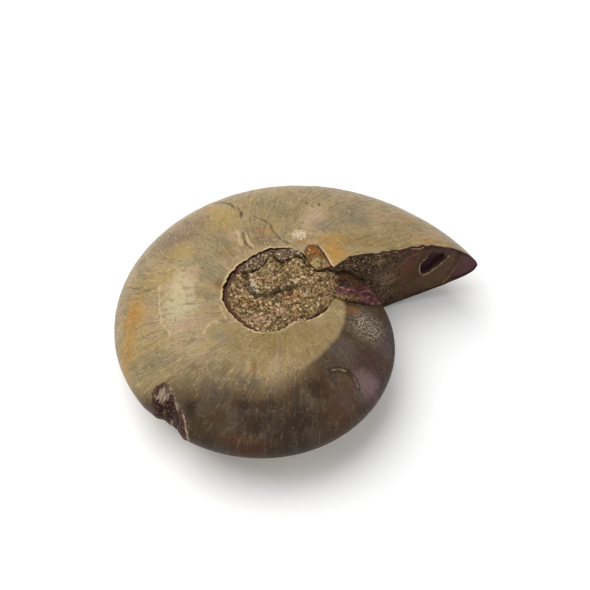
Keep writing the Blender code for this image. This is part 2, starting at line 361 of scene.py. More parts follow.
# %% The chip
def chip_depth(points, keel):
    """A flake's hollow in the keel: rounded where it fades out, and cut deeper inside the
    flake's own crisp outline, with ripples like those of broken glass."""
    degrees = np.degrees(np.arctan2(points[..., 1], points[..., 0])) % 360.0
    along = (degrees - CHIP_ANGLE) / CHIP_HALF_ANGLE
    inward = (keel - np.hypot(points[..., 0], points[..., 1])) / CHIP_REACH
    hollow = 1.0 - smooth_step(0.45, 1.0, np.hypot(along, inward))
    inside = depth_inside(CHIP_OUTLINE, points[..., 0], points[..., 1]) + 0.12 * noise(points, 0.9, 3)
    flake = smooth_step(-0.1, 0.7, inside)
    ripples = 0.07 * np.sin(4.2 * inside + 2.0 * noise(points, 2.2, 5)) * flake
    upper = smooth_step(-9.0, -4.0, points[..., 2])
    return CHIP_DEPTH * (hollow * (0.25 + 0.65 * flake) + ripples) * upper, inside


# %% The shell's two flanks
SHELL_COLUMNS, NEAR_ROWS, FAR_ROWS = 690, 92, 44
SHELL_END = 374.0  # the earlier whorl runs on a little behind the break


def eased_rows(shares):
    """A column of shares that lie closer together towards the keel: the mean of an even run
    and a quarter of a sine wave."""
    return (0.5 * shares + 0.5 * np.sin(shares * np.pi / 2.0))[:, None]


shell_turns = np.linspace(0.0, SHELL_END, SHELL_COLUMNS)[None, :]
near_outwards = eased_rows(np.linspace(0.0, 1.0, NEAR_ROWS))
far_outwards = eased_rows(np.linspace(1.0, 0.0, FAR_ROWS)[1:])
near_flank = flank(shell_turns, near_outwards, near_height, 1)
far_flank = flank(shell_turns, far_outwards, far_height, -1)
print("rows and columns: near flank", near_flank.shape[:2], "and far flank", far_flank.shape[:2])

# %% The near flank's fine relief
SET_BACK = 0.13  # keeps the highest wrinkles inside the solid's box
near_x, near_y = near_flank[..., 0], near_flank[..., 1]
growth = np.stack(np.broadcast_arrays(shell_turns / 1.6, near_outwards / 0.3, 0.0), axis=-1)
relief = 0.05 * rough(near_flank, 7.0, 3, 11) + 0.03 * rough(growth, 1.0, 2, 12)
for paths, rise, width in RELIEF_LINES.values():
    relief += rise * sum(bell(distance_to(path, near_x, near_y), width) for path in paths)
relief -= 0.5 * smooth_step(-0.1, 0.4, depth_inside(WINDOW, near_x, near_y))
relief = (relief - SET_BACK) * smooth_step(0.0, 0.06, 1.0 - near_outwards)
near_normals = normals_of(near_flank)
near_normals *= np.sign(near_normals[NEAR_ROWS // 2, SHELL_COLUMNS // 2, 2])
near_flank = near_flank + near_normals * relief[..., None]
print("the near relief runs from", relief.min().round(2), "to", relief.max().round(2), "mm")

# %% Cut the chip
CHIP_PULL_IN, CHIP_PULL_DOWN = 0.75, 0.6
shell_rows = np.concatenate([near_flank, far_flank])
sunk, _ = chip_depth(shell_rows, keel_radius(shell_turns))
pull = CHIP_PULL_IN * unit(shell_rows * IN_PLAN) + CHIP_PULL_DOWN * UP
shell_rows = shell_rows - sunk[..., None] * pull
print("the chip's deepest cut is", sunk.max().round(2), "mm")


# %% Close the shell behind the navels and at its two ends
def navel_wall(rim, side):
    """Two rows that carry a rim down into the navel: its rounded lip, then the wall's foot."""
    away_from_axis = unit(rim * IN_PLAN)
    lip = rim - 0.12 * away_from_axis - 0.16 * side * UP
    foot = rim - 0.40 * away_from_axis - 3.0 * side * UP
    return lip, foot


near_lip, near_foot = navel_wall(shell_rows[0], 1)
far_lip, far_foot = navel_wall(shell_rows[-1], -1)
section = np.concatenate([[near_foot, near_lip], shell_rows, [far_lip, far_foot, near_foot]])
middles = section.mean(axis=0, keepdims=True)
RECESS_COLUMN, RECESS_DEEPEST = 10, 34  # the cap starts and ends this many columns behind the break
CAP_SHARE = 0.95  # the cap's rim, as a share of the shell's section there
cap_rim = middles[:, RECESS_COLUMN] + CAP_SHARE * (section[:, RECESS_COLUMN] - middles[:, RECESS_COLUMN])
shell_grid = np.concatenate([
    np.repeat(middles[:, [RECESS_DEEPEST]], len(section), axis=0),
    cap_rim[:, None],
    section,
    np.repeat(middles[:, [-1]], len(section), axis=0),
], axis=1)
print("the shell's grid has", shell_grid.shape[:2], "rows and columns")

# %% Named numbers for the shell's finish
# (degrees round, distance from the axis) of the line outside which the near flank is dark: dark
# stone, and on the right below the break partly a painted shadow cast by the broken end.
DARK_EDGE = (
    (0, 15.9), (18, 16.2), (32, 27.0), (45, 60.0), (90, 90.0), (180, 60.0), (203, 44.0), (213, 36.0),
    (220, 31.5), (231, 28.0), (243, 24.0), (258, 22.0), (272, 21.6), (287, 18.9), (301, 17.9),
    (314, 16.6), (332, 16.1), (345, 15.8),
)
MIDDLING_RIM = 14.0  # a middling distance from the axis to the rim
# The rows that go down behind the two rims, and the distance from the rim that each is given.
WALL_ROWS, WALL_FROM_RIM = [0, 1, -3, -2, -1], np.array([-3.0, -0.2, -0.2, -3.0, -3.0])
grid_turns = np.concatenate([[0.0, 0.0], shell_turns[0], [SHELL_END]])[None, :]
grid_outwards = np.concatenate([[0, 0], near_outwards[:, 0], 2.0 - far_outwards[:, 0], [2, 2, 0]])[:, None]
from_rim = np.minimum(grid_outwards, 2.0 - grid_outwards) * (keel_radius(grid_turns) - MIDDLING_RIM)
from_rim[WALL_ROWS] = WALL_FROM_RIM[:, None]
shell_x, shell_y = shell_grid[..., 0], shell_grid[..., 1]
shell_radius = np.hypot(shell_x, shell_y)
shell_degrees = np.degrees(np.arctan2(shell_y, shell_x)) % 360.0
_, chip_inside = chip_depth(shell_grid, keel_radius(grid_turns))

# %% Distances from the drawn lines, and the shell itself
line_paths = {name: paths for name, (paths, _, _) in RELIEF_LINES.items()}
line_paths |= {"chip_ridge": (CHIP_RIDGE,), "window_wall": (WINDOW_WALL,), "crescent": (CRESCENT,)}
shell = make_piece("shell", shell_grid, {
    "turn": grid_turns,
    "outwards": grid_outwards,
    "from_rim": from_rim,
    "from_keel": keel_radius(grid_turns) - shell_radius,
    "beyond_dark_edge": shell_radius - around(DARK_EDGE, shell_degrees),
    "chip_inside": chip_inside,
} | {
    name: np.minimum.reduce([distance_to(path, shell_x, shell_y) for path in paths])
    for name, paths in line_paths.items()
}, sharp=40.0)

# %% [markdown]
# ## The rock in the navel
# The middle of the coil was filled by mud that set hard. A grey crust runs round its upper
# side, behind a jagged crack, and a block with white crystals stands over a hollow. The grid is
# polar: its rows run from the middle to the rim, so its edge follows the rim exactly.

# %% Marks in the navel, in plan
NAVEL_MIDDLE, FAR_NAVEL_MIDDLE = np.array([-0.3, 4.5, 0.0]), np.array([0.8, 2.6, 0.0])
FILL_MIDDLE, FILL_GAP, CRUST_HEIGHT = 10.9, 0.1, 12.4
NAVEL_BACK = 5.0  # how far each hidden back lies from the keel's plane
# (degrees round, height) along the edge of each fill.
FAR_FILL_EDGE = ((0, 11.6),)
NEAR_FILL_EDGE = (
    (0, 8.3), (20, 9.6), (40, 11.2), (76, 11.8), (120, 12.3), (220, 12.3), (262, 11.9), (300, 11.3),
    (323, 10.1), (335, 9.0),
)
CRUST_CRACK = (
    (-8.8, 9.6), (-6.5, 9.6), (-4.6, 10.9), (-3.4, 12.5), (-2.6, 14.1), (-2.2, 15.1), (-0.9, 14.7),
    (-0.3, 13.5), (1.1, 12.9), (1.7, 13.5), (2.7, 13.8), (3.5, 14.5), (4.4, 14.8), (5.8, 14.4),
    (6.7, 12.8), (8.6, 10.7), (10.5, 10.3), (14.2, 11.0),
)
CRUST_OUTLINE = CRUST_CRACK[:15] + ((6.2, 16.0), (6.2, 30.0), (-20.0, 30.0), (-20.0, 14.0))
BLOCK_FOOT = (
    (-7.9, 9.0), (-7.5, 6.8), (-6.7, 5.1), (-5.8, 3.8), (-4.4, 3.1), (-2.4, 3.3), (-0.8, 4.3),
    (1.0, 5.0), (3.0, 5.3),
)
BLOCK_OUTLINE = BLOCK_FOOT + ((8.0, 7.0), (14.0, 10.0)) + CRUST_CRACK[::-1]


# %% The level of a navel
def navel_fill(middle, rim_stations, edge_stations, side, rows, columns):
    """(points, distance from the edge) in rows from a navel's middle to its rim. The level is
    bowed: it rises with the square of the share of the way out, from the middle's height to
    the edge's."""
    degrees = np.linspace(0.0, 360.0, columns, endpoint=False)[None, :]
    share = np.linspace(0.0, 1.0, rows)[:, None]
    edge = place(rim_radius(rim_stations, degrees) - FILL_GAP, degrees, 0.0 * degrees)
    points = middle + (edge - middle) * share[..., None]
    points[..., 2] = side * (FILL_MIDDLE + (around(edge_stations, degrees) - FILL_MIDDLE) * share**2)
    from_edge = np.linalg.norm((edge - middle) * IN_PLAN, axis=-1) * (1.0 - share)
    return points, from_edge


# %% Grains, crack, block and crust of the near navel
navel, navel_from_edge = navel_fill(
    NAVEL_MIDDLE, NEAR_NAVEL_RIM, NEAR_FILL_EDGE, 1, rows=116, columns=420,
)
navel_x, navel_y, navel_plan = navel[..., 0], navel[..., 1], navel * IN_PLAN
grain, grain_lot = grains(navel_plan, 0.80, 2)
fine_grain, _ = grains(navel_plan, 0.42, 6)
wander = 0.22 * noise(navel_plan, 0.8, 8)
crack = distance_to(CRUST_CRACK, navel_x, navel_y) + wander
foot = distance_to(BLOCK_FOOT, navel_x, navel_y) + wander
crust = smooth_step(-0.05, 0.20, depth_inside(CRUST_OUTLINE, navel_x, navel_y) + wander)
block = smooth_step(-0.2, 0.3, depth_inside(BLOCK_OUTLINE, navel_x, navel_y) + wander)
print("the crust covers", round(100 * float(crust.mean())), "in 100 of the near navel's points")

# %% The near navel's relief
navel[..., 2] += (np.maximum(CRUST_HEIGHT, navel[..., 2]) - navel[..., 2]) * crust
navel_relief = 0.20 * rough(navel_plan, 3.2, 3, 4) + 0.30 * (grain - 0.4) * (0.5 + grain_lot)
navel_relief += 0.16 * (fine_grain - 0.4) + 0.55 * block
navel_relief -= 0.40 * bell(crack, 0.16) + 0.35 * bell(foot, 0.60)
navel_relief -= 0.35 * smooth_step(0.5, 0.0, navel_from_edge) * (1.0 - crust)
navel[..., 2] += navel_relief
navel_rock = make_piece("navel_rock", navel, {
    "from_edge": navel_from_edge,
    "crack": crack,
    "foot": foot,
    "crust": crust,
    "grain": grain,
    "lot": grain_lot,
    "relief": navel_relief,
}, back=navel_plan + NAVEL_BACK * UP, ring=True)

# %% The far navel, without crust, crack or block
NO_CRACK = 3.0  # a distance too great for a crack or a foot to show
far_navel, far_from_edge = navel_fill(
    FAR_NAVEL_MIDDLE, FAR_NAVEL_RIM, FAR_FILL_EDGE, -1, rows=90, columns=320,
)
far_plan = far_navel * IN_PLAN
far_grain, far_lot = grains(far_plan, 0.95, 12)
far_relief = 0.30 * rough(far_plan, 3.4, 3, 14) + 0.34 * (far_grain - 0.4) * (0.4 + far_lot)
far_relief -= 0.35 * smooth_step(0.8, 0.0, far_from_edge)
far_navel[..., 2] -= far_relief
far_navel_rock = make_piece("far_navel_rock", far_navel, {
    "from_edge": far_from_edge,
    "crack": NO_CRACK,
    "foot": NO_CRACK,
    "crust": 0.0,
    "grain": far_grain,
    "lot": far_lot,
    "relief": far_relief,
}, back=far_plan - NAVEL_BACK * UP, ring=True)

# %% [markdown]
# ## The torn end
# Where the last whorl broke away, the inside of the fossil shows: dark stone with the thin pale
# walls of old chambers in it, and one chamber that never filled. Each row runs round the
# section, and the columns go from the earlier whorl out to the edge of the last one.

# %% Marks on the torn face, as (distance from the axis, height above the keel's plane)
FACE_ROWS, FACE_COLUMNS = 150, 160
# The hidden back is shrunk towards this distance from the axis, by this share, and turned back.
FACE_MIDDLE, BACK_SHARE, BACK_TURN = 38.0, 0.92, 5.0
FACE_SET_BACK = 0.2  # behind the shell's jagged lip
EARLY_SHARE = np.array([0.95, 0.95, 0.82])  # takes the face's inner edge in, under the earlier whorl
CHAMBER = (
    (42.3, 3.4), (41.9, 0.6), (42.1, -1.4), (43.0, -2.1), (44.3, -1.5), (46.0, 0.5), (47.9, 3.6),
    (47.4, 5.1), (45.2, 5.9), (43.2, 5.2),
)
CHAMBER_WALL = (
    (43.0, 4.9), (42.1, 3.4), (41.6, 0.6), (41.9, -1.8), (42.8, -2.5), (44.6, -1.8), (46.4, 0.3), (48.6, 4.1),
)
OUTER_WALL = ((47.2, 7.4), (49.6, 6.4), (51.2, 5.0), (51.3, 2.2), (50.8, -0.8), (49.6, -4.0), (48.0, -7.0))
MAUVE_WALL = ((35.6, 3.6), (36.4, 4.9), (37.3, 6.7), (39.8, 7.6))


def section_of(turn, near_of):
    """Both flanks at one turn, as one row of points from the near rim to the far rim."""
    outwards = np.sin(np.linspace(0.0, np.pi / 2.0, FACE_ROWS))
    near = flank(turn, outwards, near_of, 1)
    far = flank(turn, outwards[-2::-1], far_height, -1)
    return np.concatenate([near, far])


def ledge_height(_turn):
    """Shoulder height where the break crosses the earlier whorl: the same at every turn."""
    return LEDGE_HEIGHT


late = section_of(0.0, near_height)[:, None]
early = section_of(COIL_TURN, ledge_height)[:, None] * EARLY_SHARE
face = early + (late - early) * np.linspace(0.0, 1.0, FACE_COLUMNS)[None, :, None]
face_radius, face_height = np.hypot(face[..., 0], face[..., 1]), face[..., 2]
lean = (keel_radius(0.0) - face_radius) / (keel_radius(0.0) - np.hypot(*late[0, 0, :2]))
face_degrees = TIP_ANGLE + (BREAK_INNER_ANGLE - TIP_ANGLE) * lean + break_bend(face_radius, face_height)
face_from_edge = np.linalg.norm(late - face, axis=-1)
print("the torn face reaches from", face_radius.min().round(1), "to", face_radius.max().round(1), "mm")

# %% Walls and grains of the torn face
face_plan = np.stack([face_radius, face_height, 0.0 * face_radius], axis=-1)
chamber_inside = depth_inside(CHAMBER, face_radius, face_height)
chamber_wall = distance_to(CHAMBER_WALL, face_radius, face_height)
outer_wall = distance_to(OUTER_WALL, face_radius, face_height)
mauve_wall = distance_to(MAUVE_WALL, face_radius, face_height)
face_grain, face_lot = grains(face_plan, 0.9, 21)
crumbly = np.maximum(smooth_step(37.0, 33.0, face_radius), 0.5 * smooth_step(1.6, 0.8, face_from_edge))
outside_wall = smooth_step(49.4, 51.6, face_radius + 0.12 * np.abs(face_height))
outside_wall = outside_wall * smooth_step(0.2, 0.9, outer_wall)
print("the open chamber reaches", chamber_inside.max().round(2), "mm in from its outline")

# %% The torn face's relief
face_relief = 0.25 * rough(face_plan, 3.0, 4, 22) + 0.60 * crumbly * (face_grain - 0.4) * (0.3 + face_lot)
face_relief -= 1.5 * smooth_step(0.0, 0.5, chamber_inside)
face_relief += 0.28 * bell(np.minimum(chamber_wall, outer_wall), 0.28) + 0.22 * bell(mauve_wall, 0.35)
face_relief -= 0.45 * outside_wall
face_relief *= smooth_step(0.0, 0.7, face_from_edge)
face_relief = np.minimum(face_relief, 1.5 * smooth_step(55.0, 49.0, face_radius))
face_relief -= FACE_SET_BACK
forward = place(1.0, face_degrees - 90.0, 0.0 * face_degrees)
front = place(face_radius, face_degrees, face_height) + face_relief[..., None] * forward
back_radius = FACE_MIDDLE + BACK_SHARE * (face_radius - FACE_MIDDLE)
face_back = place(back_radius, face_degrees + BACK_TURN, BACK_SHARE * face_height)
torn_face = make_piece("torn_face", front, {
    "radius": face_radius,
    "height": face_height,
    "from_edge": face_from_edge,
    "chamber": chamber_inside,
    "wall": np.minimum(chamber_wall, outer_wall),
    "outside_wall": outside_wall,
    "mauve_wall": mauve_wall,
    "grain": face_grain,
}, back=face_back)

# %% [markdown]
# ## The ledge
# A strip of the broken whorl's own rock is left on the earlier whorl, and slopes up to the
# break. Its front is a lip of crumpled shell in wavy folds. It is a piece of its own laid on
# the shell, and its front edge goes down into the shell, so that no gap can show.

# %% The ledge's front and slope
LEDGE_ROWS, LEDGE_COLUMNS = 140, 190
LEDGE_TURNS, LEDGE_OUTWARDS = (339.0, 373.6), (-0.30, 0.995)
SKIRT_SHARE, UNDERSIDE_SHARE = 0.93, 0.78  # of the way from the tube's middle out to the earlier whorl
# (share of the way out, turn) along the ledge's front.
LEDGE_FRONT = (
    (-0.30, 359.0), (-0.15, 354.0), (0.0, 348.8), (0.12, 346.4), (0.25, 344.2), (0.34, 343.4), (0.63, 343.8),
    (0.83, 347.6), (1.0, 353.0),
)
# (share of the way out, turn) where the crumpled folds end and the crumbly rock begins.
FOLDS_END = (
    (-0.06, 354.5), (0.06, 357.5), (0.22, 357.0), (0.45, 357.6), (0.67, 360.0), (0.85, 364.0), (1.0, 369.0),
)
ledge_turns = np.linspace(*LEDGE_TURNS, LEDGE_COLUMNS)[None, :]
ledge_outwards = np.linspace(*LEDGE_OUTWARDS, LEDGE_ROWS)[:, None]


def ledge_surface(turn):
    """Height of the ledge before its roughness: the lip, then an even slope to the break."""
    slope = (LEDGE_HEIGHT - EARLY_HEIGHT - LEDGE_LIP) * smooth_step(346.0, COIL_TURN, turn)
    return near_height(turn) + LEDGE_LIP + slope


ledge_base = flank(ledge_turns, ledge_outwards, near_height, 1)
ledge = flank(ledge_turns, ledge_outwards, ledge_surface, 1)
low_corner = smooth_step(0.35, -0.05, ledge_outwards) * smooth_step(358.0, 346.0, ledge_turns)
ledge[..., 2] -= (LEDGE_LIP - 0.5) * low_corner
ledge_plan = ledge * IN_PLAN
behind_front = ledge_turns - np.interp(ledge_outwards, *np.array(LEDGE_FRONT).T)
behind_front = behind_front + 0.8 * noise(ledge_plan, 2.2, 34) + 0.35 * noise(ledge_plan, 0.8, 35)
ragged_end = 0.93 + 0.03 * noise(ledge_plan, 1.5, 38)
on_ledge = smooth_step(0.0, 1.5, behind_front) * smooth_step(0.03, 0.0, ledge_outwards - ragged_end)
on_ledge = on_ledge * smooth_step(-0.30, -0.14, ledge_outwards)
print("the ledge covers", round(100 * float(on_ledge.mean())), "in 100 of its grid; the rest is skirt")

# %% The ledge's folds and crumbs
ledge_grain, ledge_lot = grains(ledge_plan, 0.85, 31)
folds_end = np.interp(ledge_outwards, *np.array(FOLDS_END).T) + 0.9 * noise(ledge_plan, 1.4, 37)
fold_zone = smooth_step(1.0, -1.0, ledge_turns - folds_end) * smooth_step(-0.10, 0.05, ledge_outwards)
folds = np.sin(behind_front * 1.5 + 2.6 * noise(ledge_plan, 1.8, 33))
folds = folds * (0.6 + 0.6 * noise(ledge_plan, 1.1, 36))
ledge_relief = 0.22 * rough(ledge_plan, 2.4, 4, 32) + 0.34 * fold_zone * folds
ledge_relief += (1.0 - fold_zone) * 0.55 * (ledge_grain - 0.4) * (0.3 + ledge_lot)
ledge[..., 2] += ledge_relief
tube_middle = 0.5 * (ledge_base[:1] + ledge_base[-1:]) * IN_PLAN
skirt = tube_middle + SKIRT_SHARE * (ledge_base - tube_middle)
ledge = skirt + (ledge - skirt) * on_ledge[..., None]
underside = tube_middle + UNDERSIDE_SHARE * (ledge_base - tube_middle)
ledge_piece = make_piece("ledge", ledge, {
    "behind_front": behind_front,
    "outwards": ledge_outwards,
    "folds": folds,
    "fold_zone": fold_zone,
    "grain": ledge_grain,
}, back=underside)

# %% [markdown]
# ## The amber window
# Beside the navel the outer shell is worn through, and a chamber filled with amber crystals
# shows. Its right side is a thin pale wall. The piece is a patch that bulges a little, and its
# border lies under the shell.

# %% The window's patch
WINDOW_SIZE, WINDOW_LEFT_RIGHT, WINDOW_DOWN_UP = 120, (5.6, 14.6), (9.8, 19.4)
WINDOW_TURN = 22.0  # the turn whose shoulder gives the window its level
BORDER_DEPTH, WINDOW_BACK = 2.6, 9.0  # the border's depth under the shell, and the back's height
WINDOW_SHOULDER = SHOULDER * keel_radius(WINDOW_TURN)
window_x = np.linspace(*WINDOW_LEFT_RIGHT, WINDOW_SIZE)
window_y = np.linspace(*WINDOW_DOWN_UP, WINDOW_SIZE)
window_x, window_y = np.meshgrid(window_x, window_y, indexing="ij")
window_plan = np.stack([window_x, window_y, 0.0 * window_x], axis=-1)
window_inside = depth_inside(WINDOW, window_x, window_y)
window_wall = distance_to(WINDOW_WALL, window_x, window_y)
window_grain, window_lot = grains(window_plan, 0.75, 41)
print("the window covers", round(100 * float((window_inside > 0).mean())), "in 100 of its patch")

# %% The window's crystals
inside_shoulder = np.maximum(WINDOW_SHOULDER - np.hypot(window_x, window_y), 0.0)
dip = SHOULDER_DIP * np.minimum((inside_shoulder / (0.3 * WINDOW_SHOULDER)) ** 2, 1.44)
window_relief = 0.10 * rough(window_plan, 1.8, 3, 42) + 0.22 * (window_grain - 0.4) * (0.3 + window_lot)
window_relief += 0.20 * bell(window_wall, 0.25) - 0.12
risen = (BORDER_DEPTH + window_relief) * smooth_step(-0.15, 0.15, window_inside)
window_height = near_height(WINDOW_TURN) - dip - BORDER_DEPTH + risen
chamber_window = make_piece("chamber_window", window_plan + window_height[..., None] * UP, {
    "inside": window_inside,
    "wall": window_wall,
    "grain": window_grain,
    "lot": window_lot,
}, back=window_plan + WINDOW_BACK * UP)

# %% [markdown]
# ## Finishes as formulas
# A finish is a sum of small facts: this colour here, a line there, a rougher patch. To write it
# as a formula, one small class wraps a node's output, and each sum or product of two wrapped
# outputs adds a Math node. Colours are mixed by a mask, and one function adds any other node.
# A noise lies around 0.5. Less 0.5 it lies around 0, and added to a distance it makes an edge
# or a line waver.


# %% Wires between nodes
class Wire:
    """A node's output. Arithmetic on it adds Math nodes, so a finish reads as a formula."""

    def __init__(self, socket):
        self.socket = socket

    def __add__(self, other):
        return calculate("ADD", self, other)

    def __radd__(self, other):
        return calculate("ADD", other, self)

    def __sub__(self, other):
        return calculate("SUBTRACT", self, other)

    def __rsub__(self, other):
        return calculate("SUBTRACT", other, self)

    def __mul__(self, other):
        return calculate("MULTIPLY", self, other)

    def __rmul__(self, other):
        return calculate("MULTIPLY", other, self)

    def __truediv__(self, other):
        return calculate("DIVIDE", self, other)

    def __rtruediv__(self, other):
        return calculate("DIVIDE", other, self)

    def __abs__(self):
        return calculate("ABSOLUTE", self)


def add_node(tree, kind, settings, values, output=0):
    """Any node: its type, its settings, then a number or a wire for each of its inputs."""
    node = tree.nodes.new("ShaderNode" + kind)
    for name, setting in settings.items():
        setattr(node, name, setting)
    for name, value in values.items():
        if isinstance(value, Wire):
            tree.links.new(value.socket, node.inputs[name])
        else:
            node.inputs[name].default_value = value
    return Wire(node.outputs[output])


def tree_of(*values):
    """The node tree that the first wire among the values belongs to."""
    return next(value for value in values if isinstance(value, Wire)).socket.id_data


def calculate(operation, *values):
    return add_node(tree_of(*values), "Math", {"operation": operation}, dict(enumerate(values)))


def calculate_vector(operation, *values, output=0):
    return add_node(tree_of(*values), "VectorMath", {"operation": operation}, dict(enumerate(values)), output)


def mix(under, over, mask):
    """The colour under, covered by the colour over as far as the mask says."""
    layers = [colour if isinstance(colour, Wire) else (*colour, 1.0) for colour in (under, over)]
    values = {0: mask, 6: layers[0], 7: layers[1]}
    return add_node(tree_of(mask, under, over), "Mix", {"data_type": "RGBA"}, values, output=2)


def ease(value, start, end):
    """0 before start and 1 after end with a soft S between; start may be the larger one."""
    values = {"Value": value, "From Min": start, "From Max": end}
    return add_node(tree_of(value), "MapRange", {"interpolation_type": "SMOOTHSTEP"}, values)


def line(distance, width):
    """1 on a line and 0 beyond its width, from a distance to it."""
    return ease(distance, width, 0.25 * width)


def cloud(vector, size, detail=3.0, roughness=0.55):
    """Smooth noise around 0.5, with patches of about the size."""
    values = {"Vector": vector, "Scale": 1.0 / size, "Detail": detail, "Roughness": roughness}
    return add_node(tree_of(vector), "TexNoise", {}, values)


def combine(x, y, z=0.0):
    return add_node(tree_of(x, y), "CombineXYZ", {}, {"X": x, "Y": y, "Z": z})


def part(vector, axis):
    """One number of a vector: 0 for x, 1 for y and 2 for z."""
    return add_node(tree_of(vector), "SeparateXYZ", {}, {"Vector": vector}, output=axis)


def distance_from(vector, middle):
    return calculate_vector("DISTANCE", vector, middle, output=1)


def number(tree, name):
    """One of the named numbers that the mesh carries."""
    return add_node(tree, "Attribute", {"attribute_name": name}, {}, output=2)


def position(tree):
    """The place on the object, in millimetres from the coil's axis."""
    own = add_node(tree, "TexCoord", {}, {}, output=3)
    return calculate_vector("MULTIPLY_ADD", own, (1.0 / MM,) * 3, tuple(-AXIS))


def stain(under, where, wobble, spot):
    """A soft-edged oval of another colour, with its edge moved in and out by the wobble."""
    x, y, half_x, half_y, colour, strength = spot
    shrink, shift = (1 / half_x, 1 / half_y, 0.0), (-x / half_x, -y / half_y, 0.0)
    centred = calculate_vector("MULTIPLY_ADD", where, shrink, shift)
    distance = calculate_vector("LENGTH", centred, output=1)
    return mix(under, colour, ease(distance + wobble * 0.8, 1.35, 0.25) * strength)


def new_finish(name):
    """A material's node tree and its shader, ready for its sockets."""
    material = bpy.data.materials.new(name)
    material.use_nodes = True
    return material, material.node_tree, material.node_tree.nodes["Principled BSDF"]


SPECULAR_LEVEL = 0.12


def finish(tree, shader, colour, roughness, height, height_mm):
    """Wire the sockets that vary: colour, roughness and a bump of the height given."""
    bump = add_node(tree, "Bump", {}, {"Height": height, "Distance": height_mm * MM})
    for name, value in (("Base Color", colour), ("Roughness", roughness), ("Normal", bump)):
        tree.links.new(value.socket, shader.inputs[name])
    shader.inputs["Specular IOR Level"].default_value = SPECULAR_LEVEL


# %% [markdown]
# ## Colours of the stone
# The mud and the minerals that replaced the shell give khaki, gold and mauve above, and brown
# and plum below. The pearly colours are partly a painted highlight, and the mauve sheen is a
# painted sheen. Colours are linear red, green and blue.

# %% The palette
KHAKI, TAN, GREEN_GREY = (0.272, 0.199, 0.093), (0.321, 0.232, 0.122), (0.194, 0.154, 0.081)
YELLOW_KHAKI, GOLD, OLIVE_GOLD = (0.345, 0.244, 0.088), (0.372, 0.205, 0.047), (0.198, 0.133, 0.037)
DARK_KHAKI = (0.139, 0.099, 0.047)
ORANGE, ORANGE_BROWN, BROWN = (0.378, 0.171, 0.035), (0.170, 0.071, 0.020), (0.102, 0.059, 0.025)
MAUVE_GREY, PINK_TAN, BLUE_GREY = (0.197, 0.137, 0.081), (0.358, 0.239, 0.140), (0.192, 0.161, 0.104)
PEARL_AND_HIGHLIGHT, GREEN_PEARL_AND_HIGHLIGHT, CREAM = (0.447, 0.354, 0.203), (0.400, 0.354, 0.211), (0.596, 0.451, 0.244)
WHITE_CRYSTAL, DARK_LINE, NEAR_BLACK = (0.791, 0.691, 0.504), (0.037, 0.019, 0.009), (0.015, 0.009, 0.006)
DARK_BROWN, DARK_GREY, DARK_OLIVE = (0.066, 0.035, 0.018), (0.071, 0.049, 0.031), (0.040, 0.027, 0.010)
PLUM, RED_BROWN, MAUVE_SHEEN = (0.056, 0.027, 0.024), (0.089, 0.028, 0.011), (0.197, 0.121, 0.127)

